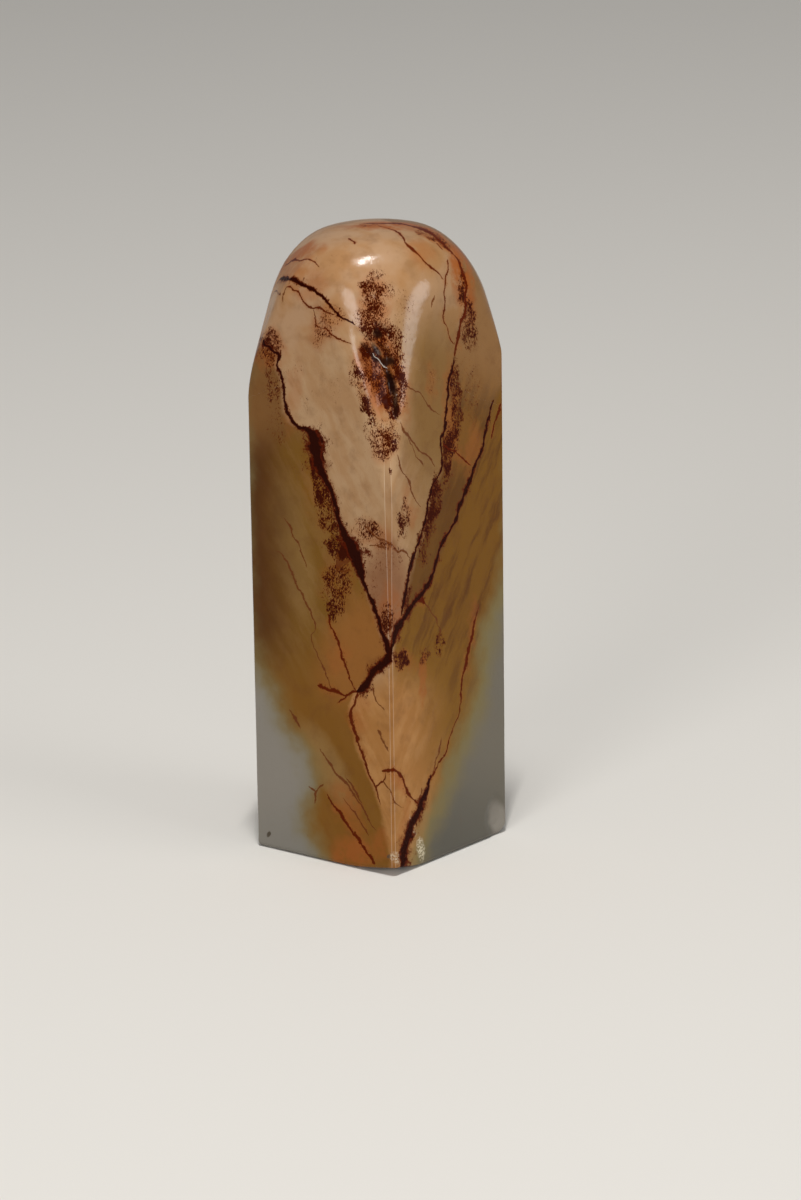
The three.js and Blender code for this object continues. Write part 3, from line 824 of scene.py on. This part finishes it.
# Colours, written as in a picture, 0 to 255
CREAM = (160, 128, 94)
CREAM_CLOUDED = (151, 115, 79)
# Painted shade: the cream on the right face, darker because that face gets less light
CREAM_SHADED_RIGHT = (119, 86, 44)
HEAD = (159, 125, 93)
HEAD_CLOUDED = (152, 112, 74)
PINKISH = (122, 80, 51)
LOWER_MIDDLE = (147, 100, 51)
LOWER_MIDDLE_PALE = (160, 114, 66)
STRIP = (111, 72, 22)
STRIP_HIGH = (127, 91, 53)
STRIP_DARK = (86, 53, 12)
OLIVE = (106, 69, 10)
OLIVE_DARK = (84, 48, 5)
OLIVE_PALE = (122, 84, 24)
OLIVE_LEFT = (106, 72, 19)
OLIVE_LEFT_HIGH = (109, 73, 35)
OLIVE_LEFT_TAN = (114, 80, 33)
OLIVE_LEFT_LOW = (111, 71, 15)
OLIVE_LEFT_PALE = (133, 104, 62)
OLIVE_LEFT_ORANGE = (131, 83, 34)
OLIVE_DARKEST = (71, 37, 3)
GREY_OLIVE = (112, 99, 62)
MILKY_LEFT = (124, 118, 109)
# Painted shade: the left milky corner's colour low down, darker as less light reaches the foot
MILKY_LEFT_SHADED_LOW = (114, 110, 102)
MILKY_RIGHT = (102, 96, 85)
# Painted shade: the right milky corner's colour low down, darker as less light reaches the foot
MILKY_RIGHT_SHADED_LOW = (82, 79, 71)
MILKY_PALE = (200, 189, 164)
MOTTLE = (89, 51, 19)
IRON_ORANGE = (140, 75, 28)
IRON_BROWN = (100, 46, 10)
FINE_BROWN = (89, 40, 5)
RED_BROWN = (77, 19, 0)
CRACK_BLACK = (36, 5, 0)
SPECK_RED = (100, 40, 5)
SPECK_DARK = (51, 10, 0)
# Painted highlight: the thin pale lines along the two edges of the front bevel
EDGE_HIGHLIGHT_PALE = (231, 216, 198)
HOLLOW_ORANGE = (118, 58, 20)
# Painted highlight along the hollow's left lip
HOLLOW_LIP_HIGHLIGHT_PINK = (169, 113, 80)
# Partly dark stain, partly painted shade in the hollow's slot, its pocket and under its lip
HOLLOW_STAIN_AND_SHADE_BLACK = (26, 7, 3)
GLINT_GREY = (176, 166, 154)
SPOT_GREY = (71, 62, 51)
FLOOR_COLOUR = (214, 210, 203)
SKY_COLOUR = (235, 235, 235)

# The camera, from the fit to the photograph
CAMERA_AZIMUTH = 38.545
CAMERA_ELEVATION = 16.145
CAMERA_ROLL = -0.833
CAMERA_DISTANCE = 1000
CAMERA_AIM_RIGHT = 3.061
CAMERA_AIM_UP = 34.739
PHOTO_LONG_SIDE = 1200
FOCAL_PIXELS = 7200.28
SENSOR = 36

# The lamps: name, azimuth, elevation, distance, width and height in metres, watts, height of the
# place that it shines at in mm, and its roll in degrees
LAMPS = [
    ("key", 39, 75, 0.9, (0.022, 0.28), 5.2, 80, -13),
    ("key_glow", 32, 72, 0.9, (0.16, 0.3), 1.6, 80, 0),
    ("left_fill", 15, 16, 1.2, (0.46, 0.56), 5.8, 55, 0),
    ("right_fill", 96, 11, 1.2, (0.74, 0.5), 6.2, 55, 0),
]
SKY_STRENGTH = 0.26

# The floor, in metres
FLOOR_REACH = 6.0
FLOOR_ROUGHNESS = 0.6
FLOOR_GLOSS = 0.2


def linear(red, green, blue):
    """A colour written as in a picture, 0 to 255, as the shader takes it."""
    parts = [value / 255 for value in (red, green, blue)]
    return (*[v / 12.92 if v <= 0.04045 else ((v + 0.055) / 1.055) ** 2.4 for v in parts], 1)


class Graph:
    """A material's nodes, added one after another as they are worked out."""

    def __init__(self, name):
        self.material = bpy.data.materials.new(name)
        self.material.use_nodes = True
        self.tree = self.material.node_tree
        self.shader = self.tree.nodes["Principled BSDF"]

    def add(self, kind, **settings):
        node = self.tree.nodes.new("ShaderNode" + kind)
        for name, value in settings.items():
            setattr(node, name, value)
        return node

    def feed(self, socket, value):
        if isinstance(value, bpy.types.NodeSocket):
            self.tree.links.new(value, socket)
        else:
            socket.default_value = value

    def math(self, operation, *values):
        node = self.add("Math", operation=operation)
        for socket, value in zip(node.inputs, values):
            self.feed(socket, value)
        return node.outputs[0]

    def times(self, a, b):
        return self.math("MULTIPLY", a, b)

    def minus(self, a, b):
        return self.math("SUBTRACT", a, b)

    def swing(self, wave, reach, value):
        """A value moved by up to half the reach either way by a noise around 0.5."""
        return self.math("MULTIPLY_ADD", self.minus(wave, 0.5), reach, value)

    def ramp(self, value, start, end, low=0.0, high=1.0, shape="SMOOTHSTEP"):
        node = self.add("MapRange", interpolation_type=shape)
        for socket, item in zip(node.inputs, (value, start, end, low, high)):
            self.feed(socket, item)
        return node.outputs[0]

    def mix(self, base, colour, amount):
        """One colour over another, each as a socket or as written from 0 to 255."""
        node = self.add("Mix", data_type="RGBA")
        self.feed(node.inputs[0], amount)
        for socket, value in ((node.inputs[6], base), (node.inputs[7], colour)):
            self.feed(socket, linear(*value) if isinstance(value, tuple) else value)
        return node.outputs[2]

    def noise_node(self, where, size, detail, rough, bend):
        node = self.add("TexNoise")
        names = ("Vector", "Scale", "Detail", "Roughness", "Distortion")
        for name, value in zip(names, (where, 1 / (size * MM), detail, rough, bend)):
            self.feed(node.inputs[name], value)
        return node

    def noise(self, where, size, detail=2.0, rough=0.5, bend=0.0):
        """Cloudy noise around 0.5, with lumps of about the given size in mm."""
        return self.noise_node(where, size, detail, rough, bend).outputs[0]

    def two_noises(self, where, size):
        """Two smooth noises around 0.5 that don't follow each other."""
        parts = self.add("SeparateColor")
        self.feed(parts.inputs[0], self.noise_node(where, size, 1.0, 0.5, 0.0).outputs[1])
        return parts.outputs[0], parts.outputs[1]

    def curve(self, value, points):
        """A curve through (0..1, 0..1) points."""
        node = self.add("FloatCurve")
        self.feed(node.inputs["Value"], value)
        line = node.mapping.curves[0]
        line.points[0].location = points[0]
        line.points[1].location = points[-1]
        for point in points[1:-1]:
            line.points.new(*point)
        for point in line.points:
            point.handle_type = "AUTO_CLAMPED"
        node.mapping.update()
        return node.outputs[0]

    def line(self, place, parts, heights):
        """The height of a line of points, each at its own part of the way from 0 to 1."""
        lowest, span = min(heights), max(np.ptp(heights), 0.001)
        held = self.curve(place, list(zip(parts, (heights - lowest) / span)))
        return self.math("MULTIPLY_ADD", held, span, lowest)

    def path(self, along, points):
        """The second coordinate of a line of points at the first, held beyond its two ends."""
        firsts, seconds = np.array(sorted(points), float).T
        place = self.ramp(along, firsts[0], firsts[-1], shape="LINEAR")
        return self.line(place, (firsts - firsts[0]) / (firsts[-1] - firsts[0]), seconds)

    def patch(self, across, rise, oval, soft):
        """An oval patch: strong in its middle, and nothing past its rim."""
        middle_across, middle_rise, half_width, half_height, turn, strength = oval
        cosine, sine = math.cos(math.radians(turn)), math.sin(math.radians(turn))
        total = 0.0
        for radius, part_across, part_rise in ((half_width, cosine, sine), (half_height, -sine, cosine)):
            offset = -(middle_across * part_across + middle_rise * part_rise) / radius
            away = self.math("MULTIPLY_ADD", across, part_across / radius, offset)
            away = self.math("MULTIPLY_ADD", rise, part_rise / radius, away)
            total = self.math("MULTIPLY_ADD", away, away, total)
        return self.ramp(total, PATCH_RIM, soft, 0.0, strength)

    def patches(self, across, rise, ovals, soft=0.05):
        """The strongest of some oval patches at each place."""
        most = self.patch(across, rise, ovals[0], soft)
        for oval in ovals[1:]:
            most = self.math("MAXIMUM", most, self.patch(across, rise, oval, soft))
        return most


def crack(graph, across, rise, points, widths):
    """How many half widths away a crack is, times the widest half. A curve holds its middle and
    another its half width, both over the way from its first end to its last."""
    points = np.array(points, float)
    spans = np.abs(points[-1] - points[0])
    first, second = across, rise
    if spans[0] <= spans[1]:
        points, spans = points[:, ::-1], spans[::-1]
        first, second = rise, across
    along, beside = points.T
    steps = np.abs(along - along[0]) / spans[0]
    half = np.interp(steps, np.linspace(0, 1, len(widths)), widths) / 2
    half = half * np.hypot(1, np.gradient(beside, along))
    half[[0, -1]] *= 0.5
    order = along.argsort()
    along, beside, half = along[order], beside[order], half[order] / WIDEST_HALF
    place = graph.ramp(first, along[0], along[-1], shape="LINEAR")
    parts = (along - along[0]) / (along[-1] - along[0])
    held_parts = [0, END_SHARE, *parts[1:-1], 1 - END_SHARE, 1]
    centre = graph.line(place, parts, beside)
    room = graph.curve(place, list(zip(held_parts, [END_HALF, *half, END_HALF])))
    away = graph.math("ABSOLUTE", graph.minus(second, centre))
    return graph.math("DIVIDE", away, room)


def nearest(graph, across, rise, cracks):
    """How many half widths away the nearest of the cracks is."""
    first, *others = cracks
    least = crack(graph, across, rise, *first)
    for other in others:
        least = graph.math("MINIMUM", least, crack(graph, across, rise, *other))
    return graph.math("DIVIDE", least, WIDEST_HALF)


def pattern_place(graph):
    """The place in the stone, and the pattern's across and rise there in mm."""
    place = graph.add("TexCoord").outputs["Object"]
    parts = graph.add("SeparateXYZ")
    graph.feed(parts.inputs[0], place)
    x, y, z = [graph.times(part, 1 / MM) for part in parts.outputs]
    inward = graph.minus(y, x)
    across = graph.math("ADD", graph.math("ADD", x, y), PATTERN_SHIFT)
    rise = graph.math("MULTIPLY_ADD", graph.math("ADD", inward, PATTERN_EDGE), PATTERN_SLOPE, z)
    behind = graph.math("MAXIMUM", inward, 0.0)
    bend_across, bend_rise = graph.two_noises(place, BACK_BEND_SIZE)
    turn = graph.swing(bend_across, BACK_BEND, BACK_TURN)
    lift = graph.swing(bend_rise, BACK_BEND, BACK_LIFT)
    across = graph.math("MULTIPLY_ADD", behind, turn, across)
    rise = graph.math("MULTIPLY_ADD", behind, lift, rise)
    return place, across, rise, inward


def jagged(graph, place, across, rise, jags):
    """Across and rise moved about by noise: (its size in mm, how far it reaches)."""
    for size, reach in jags:
        wave_across, wave_rise = graph.two_noises(place, size)
        across = graph.swing(wave_across, reach, across)
        rise = graph.swing(wave_rise, reach, rise)
    return across, rise


def streaks(graph, across, rise):
    """Cloudy noise drawn out along the way that the cracks run down towards the front edge."""
    beside = graph.math("ABSOLUTE", across)
    over = graph.math("MULTIPLY_ADD", beside, -STREAK_SLOPE, rise)
    along = graph.math("MULTIPLY_ADD", rise, STREAK_SLOPE, beside)
    parts = graph.add("CombineXYZ")
    graph.feed(parts.inputs[0], graph.times(over, MM / STREAK_WIDTH))
    graph.feed(parts.inputs[1], graph.times(along, MM / STREAK_LENGTH))
    return graph.noise(parts.outputs[0], 1, 4, 0.6)


def ground_colour(graph, place, across, rise):
    """The stone's ground colours, which change at its larger cracks, with painted shade darkening the cream
    on the right face and the milky corners near the foot. Ramps of noise are around 0.5, and the others
    run over rise, over distance across or past a border, in mm."""
    streak = streaks(graph, across, rise)
    blotch = graph.noise(place, 6, 3, 0.55)
    cloud = graph.times(graph.math("ADD", streak, blotch), 0.5)
    drift = graph.swing(graph.noise(place, GROUND_WANDER_SIZE, 3), GROUND_WANDER, across)

    past_left = graph.minus(graph.path(rise, LEFT_BORDER), across)
    past_strip = graph.minus(across, graph.path(rise, STRIP_BORDER))
    past_right = graph.minus(across, graph.path(rise, RIGHT_BORDER))
    past_grey_left = graph.minus(graph.path(rise, GREY_LEFT), drift)
    past_grey_right = graph.minus(drift, graph.path(rise, GREY_RIGHT))

    colour = graph.mix(CREAM, CREAM_CLOUDED, graph.ramp(cloud, 0.42, 0.6))
    head = graph.mix(HEAD, HEAD_CLOUDED, graph.ramp(blotch, 0.4, 0.62))
    colour = graph.mix(colour, head, graph.ramp(rise, 76, 84))
    # Painted shade: the cream to the right of the front edge turns darker, as that face gets less light
    shaded_right = graph.times(graph.ramp(drift, 0.5, 8), graph.ramp(rise, 88, 76, 0.25, 1.0))
    shaded_right = graph.times(shaded_right, graph.ramp(rise, 54, 66, 0.6, 1.0))
    colour = graph.mix(colour, CREAM_SHADED_RIGHT, shaded_right)
    colour = graph.mix(colour, PINKISH, graph.patches(across, rise, PINKISH_PATCH))

    strip = graph.mix(STRIP, STRIP_DARK, graph.ramp(cloud, 0.44, 0.6))
    strip = graph.mix(strip, STRIP_HIGH, graph.ramp(rise, 70, 82))
    strip = graph.mix(strip, STRIP_DARK, graph.ramp(rise, 68, 58, 0.0, 0.7))
    colour = graph.mix(colour, strip, graph.ramp(past_strip, -0.6, 1.2))
    right = graph.mix(OLIVE, OLIVE_DARK, graph.ramp(streak, 0.46, 0.68))
    right = graph.mix(right, OLIVE_PALE, graph.ramp(rise, 44, 28, 0.0, 0.5))
    colour = graph.mix(colour, right, graph.ramp(past_right, -0.6, 1.2))
    dark_band = graph.times(graph.patches(across, rise, DARK_BAND), graph.ramp(streak, 0.36, 0.6))
    colour = graph.mix(colour, OLIVE_DARK, dark_band)

    lower = graph.mix(LOWER_MIDDLE, LOWER_MIDDLE_PALE, graph.ramp(cloud, 0.42, 0.6))
    lower_part = graph.times(graph.ramp(rise, 33.5, 25.5), graph.ramp(drift, 15, 2))
    colour = graph.mix(colour, lower, lower_part)

    left = graph.mix(OLIVE_LEFT, OLIVE_LEFT_TAN, graph.ramp(streak, 0.4, 0.62))
    left = graph.mix(left, OLIVE_LEFT_LOW, graph.ramp(rise, 42, 30, 0.0, 0.8))
    left = graph.mix(left, OLIVE_LEFT_ORANGE, graph.patches(across, rise, ORANGE_PATCH))
    left = graph.mix(left, OLIVE_LEFT_PALE, graph.patches(across, rise, PALE_PATCHES))
    dark_side = graph.times(graph.ramp(drift, -14, -24, 0.0, 0.95), graph.ramp(rise, 30, 46))
    left = graph.mix(left, OLIVE_DARKEST, dark_side)
    left = graph.mix(left, OLIVE_LEFT_HIGH, graph.ramp(rise, 66, 74))
    colour = graph.mix(colour, left, graph.ramp(past_left, -0.25, 0.9))

    mottled = graph.ramp(graph.noise(place, 2.6, 4, 0.6), 0.46, 0.72, 0.0, MOTTLE_STRENGTH)
    colour = graph.mix(colour, MOTTLE, mottled)
    # Painted shade: the milky corners turn darker towards the foot
    milky = graph.mix(MILKY_LEFT, MILKY_LEFT_SHADED_LOW, graph.ramp(rise, 22, 6))
    milky = graph.mix(GREY_OLIVE, milky, graph.ramp(past_grey_left, -1.5, 4))
    colour = graph.mix(colour, milky, graph.ramp(past_grey_left, -3, 2))
    milky = graph.mix(MILKY_RIGHT, MILKY_RIGHT_SHADED_LOW, graph.ramp(rise, 26, 6))
    milky = graph.mix(GREY_OLIVE, milky, graph.ramp(past_grey_right, 0, 5.5))
    return graph.mix(colour, milky, graph.ramp(past_grey_right, -2.5, 2))


def painted_edge_light_and_shade(graph, across, rise):
    """Painted highlights as thin pale lines along the two edges of the front edge's bevel, and painted
    shade on the bevel between.
    """
    away = graph.math("DIVIDE", graph.minus(rise, WIDE_BEVEL_LEVEL), WIDE_BEVEL_LENGTH)
    bell = graph.math("EXPONENT", graph.times(graph.times(away, away), -1.0))
    root = math.sqrt(0.5)
    inset = graph.math("MULTIPLY_ADD", bell, WIDE_BEVEL * root, BEVEL * root)
    past_line = graph.minus(graph.math("ABSOLUTE", across), inset)
    line = graph.ramp(graph.math("ABSOLUTE", past_line), 0.1, 0.02, 0.0, 0.17)
    below_flat = graph.ramp(rise, 62, 56)
    bevel = graph.ramp(past_line, 0.05, -0.12, 0.0, 0.3)
    return graph.times(line, below_flat), graph.times(bevel, below_flat)


def marked(graph, colour, place, across, rise, ahead):
    """A colour with the marks that only the front has: the hollow's walls with a painted highlight on its
    lip, crystals, painted light on the chip, and spots.
    """
    sparkle = graph.ramp(graph.noise(place, 0.32, 3, 0.7), 0.4, 0.62)
    marks = (
        (HOLLOW_WALL, HOLLOW_ORANGE, 0.05, ahead),
        # painted highlight along the hollow's left lip
        (HOLLOW_LIP_HIGHLIGHT, HOLLOW_LIP_HIGHLIGHT_PINK, 0.05, ahead),
        (CRYSTALS, MILKY_PALE, 0.05, graph.times(sparkle, ahead)),
        # painted light making the flake's scoop paler
        (CHIP_HIGHLIGHT, MILKY_LEFT, 0.3, ahead),
        (GREY_SPOTS, SPOT_GREY, 0.5, ahead),
    )
    for ovals, tint, soft, shown in marks:
        colour = graph.mix(colour, tint, graph.times(graph.patches(across, rise, ovals, soft), shown))
    return colour


def specks_in(graph, across, rise, inward, thickness):
    """How much of a place is speck, and how dense it is, where the specks lie this thick."""
    parts = graph.add("CombineXYZ")
    for socket, value, size in zip(parts.inputs, (across, rise, inward), SPECK_SIZES):
        graph.feed(socket, graph.times(value, MM / size))
    grain = graph.noise(parts.outputs[0], 1, 4, 0.7, 0.5)
    start = graph.math("MULTIPLY_ADD", thickness, -0.29, 0.695)
    specks = graph.ramp(grain, start, graph.math("ADD", start, 0.07))
    return specks, graph.ramp(graph.minus(grain, start), 0.03, 0.11)


def stone_material():
    graph = Graph("stone")
    place, plain_across, plain_rise, inward = pattern_place(graph)
    across, rise = jagged(graph, place, plain_across, plain_rise, JAGS)
    patchy = graph.noise(place, 1.7, 3, 0.6)
    loose = jagged(graph, place, plain_across, plain_rise, [(PATCH_WANDER_SIZE, PATCH_WANDER)])

    thick = graph.ramp(graph.noise(place, 1.5, 4, 0.65), 0.3, 0.7, 0.4, 1.6, "LINEAR")
    dark, red, fine = [
        graph.times(nearest(graph, across, rise, cracks.values()), thick)
        for cracks in (DARK_CRACKS, RED_CRACKS, FINE_CRACKS)
    ]

    colour = ground_colour(graph, place, across, rise)
    stain = graph.times(graph.patches(*loose, STAINED), graph.ramp(patchy, 0.2, 0.56))
    colour = graph.mix(colour, IRON_ORANGE, stain)
    ahead = graph.ramp(inward, *FRONT_ONLY)
    colour = marked(graph, colour, place, across, rise, ahead)
    painted_edge_lines, bevel = painted_edge_light_and_shade(graph, plain_across, plain_rise)
    # Painted shade on the front bevel, then painted highlights along its two edges
    colour = graph.mix(colour, MOTTLE, bevel)
    colour = graph.mix(colour, EDGE_HIGHLIGHT_PALE, painted_edge_lines)

    by_red = graph.times(graph.ramp(red, 5, 0.8, 0.0, 0.4), graph.ramp(patchy, 0.3, 0.65))
    colour = graph.mix(colour, IRON_ORANGE, by_red)
    by_dark = graph.times(graph.ramp(dark, 2.6, 0.9, 0.0, 0.45), graph.ramp(patchy, 0.3, 0.65, 0.1, 1.0))
    colour = graph.mix(colour, IRON_BROWN, by_dark)

    clumps = graph.ramp(patchy, 0.32, 0.62, 0.65, 1.3, "LINEAR")
    thickness = graph.times(graph.patches(*loose, SPECKLED, 0.1), clumps)
    for away, near, most in ((dark, 3.4, 0.75), (red, 5, 0.5), (fine, 5, 0.3)):
        thickness = graph.math("MAXIMUM", thickness, graph.ramp(away, near, 1, 0.0, most))
    thickness = graph.math("MAXIMUM", thickness, FLECKS)
    specks, dense = specks_in(graph, across, rise, inward, thickness)
    colour = graph.mix(colour, graph.mix(SPECK_RED, SPECK_DARK, dense), specks)

    lines = (
        (fine, FINE_BROWN, 1.4, 0.6, 0.9),
        (red, RED_BROWN, 1.45, 0.75, 0.95),
        (dark, RED_BROWN, 1.4, 1.0, 0.9),
        (dark, CRACK_BLACK, 1.1, 0.6, 1.0),
    )
    for away, tint, rim, heart, most in lines:
        colour = graph.mix(colour, tint, graph.ramp(away, rim, heart, 0.0, most))
    # Partly dark stain, partly painted shade in the hollow's slot, its pocket and under its lip
    shade = graph.times(graph.patches(across, rise, HOLLOW_STAIN_AND_SHADE), ahead)
    colour = graph.mix(colour, HOLLOW_STAIN_AND_SHADE_BLACK, shade)
    glint = graph.ramp(nearest(graph, across, rise, [GLINT]), 1.5, 0.6, 0.0, 0.75)
    colour = graph.mix(colour, GLINT_GREY, graph.times(glint, ahead))

    inputs = graph.shader.inputs
    graph.feed(inputs["Base Color"], colour)
    graph.feed(inputs["Roughness"], graph.ramp(specks, 0, 1, POLISHED, SPECK_ROUGHNESS))
    dull = graph.math("MAXIMUM", specks, graph.ramp(graph.math("MINIMUM", dark, red), 1.4, 0.8))
    ridge = graph.patches(plain_across, plain_rise, RIDGES, 0.3)
    gloss = graph.math("MULTIPLY_ADD", ridge, RIDGE_GLOSS - GLOSS, GLOSS)
    graph.feed(inputs["Specular IOR Level"], graph.ramp(dull, 0, 1, gloss, DULL_GLOSS))
    bump = graph.add("Bump")
    bump.inputs["Distance"].default_value = WAVE_HEIGHT * MM
    bump.inputs["Strength"].default_value = WAVE_STRENGTH
    graph.feed(bump.inputs["Height"], graph.noise(place, WAVE_SIZE, 3, 0.6))
    graph.feed(inputs["Normal"], bump.outputs[0])
    return graph.material


def toward(azimuth, elevation):
    """The direction from the stone to something at this azimuth (0 is -Y, 90 is +X) and elevation."""
    a, e = math.radians(azimuth), math.radians(elevation)
    return Vector((math.sin(a) * math.cos(e), -math.cos(a) * math.cos(e), math.sin(e)))


def make_camera():
    back = toward(CAMERA_AZIMUTH, CAMERA_ELEVATION)
    right = toward(CAMERA_AZIMUTH + 90, 0)
    up = back.cross(right)
    roll = math.radians(CAMERA_ROLL)
    rolled_right = right * math.cos(roll) + up * math.sin(roll)
    rolled_up = back.cross(rolled_right)
    aim = (right * CAMERA_AIM_RIGHT + Vector((0, 0, CAMERA_AIM_UP))) * MM
    lens = bpy.data.cameras.new("camera")
    lens.sensor_width = SENSOR
    lens.lens = FOCAL_PIXELS / PHOTO_LONG_SIDE * SENSOR
    camera = new_object("camera", lens)
    place = aim + back * CAMERA_DISTANCE * MM
    turn = Matrix((rolled_right, rolled_up, back)).transposed()
    camera.matrix_world = Matrix.LocRotScale(place, turn.to_quaternion(), None)
    bpy.context.scene.camera = camera


def make_floor():
    mesh = bpy.data.meshes.new("floor")
    corners = [(-1, -1, 0), (1, -1, 0), (1, 1, 0), (-1, 1, 0)]
    mesh.from_pydata([Vector(corner) * FLOOR_REACH for corner in corners], [], [(0, 1, 2, 3)])
    floor = new_object("floor", mesh)
    material = bpy.data.materials.new("floor")
    material.use_nodes = True
    shader = material.node_tree.nodes["Principled BSDF"]
    shader.inputs["Base Color"].default_value = linear(*FLOOR_COLOUR)
    shader.inputs["Roughness"].default_value = FLOOR_ROUGHNESS
    shader.inputs["Specular IOR Level"].default_value = FLOOR_GLOSS
    floor.data.materials.append(material)


def make_lights():
    for name, azimuth, elevation, distance, size, watts, aim_height, roll in LAMPS:
        light = bpy.data.lights.new(name, "AREA")
        light.shape = "ELLIPSE"
        light.size, light.size_y = size
        light.energy = watts
        way = toward(azimuth, elevation)
        aim = Vector((0, 0, aim_height)) * MM
        turn = way.to_track_quat("Z", "Y") @ Quaternion((0, 0, 1), math.radians(roll))
        new_object(name, light).matrix_world = Matrix.LocRotScale(aim + way * distance, turn, None)
    world = bpy.data.worlds.new("studio")
    bpy.context.scene.world = world
    world.use_nodes = True
    sky = world.node_tree.nodes["Background"]
    sky.inputs["Color"].default_value = linear(*SKY_COLOUR)
    sky.inputs["Strength"].default_value = SKY_STRENGTH


def main():
    stone = make_stone()
    carve(stone)
    stone.data.materials.append(stone_material())
    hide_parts("seal_stone")
    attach(stone, "root")
    make_camera()
    make_floor()
    make_lights()
    bpy.context.scene.view_settings.view_transform = "Standard"


main()
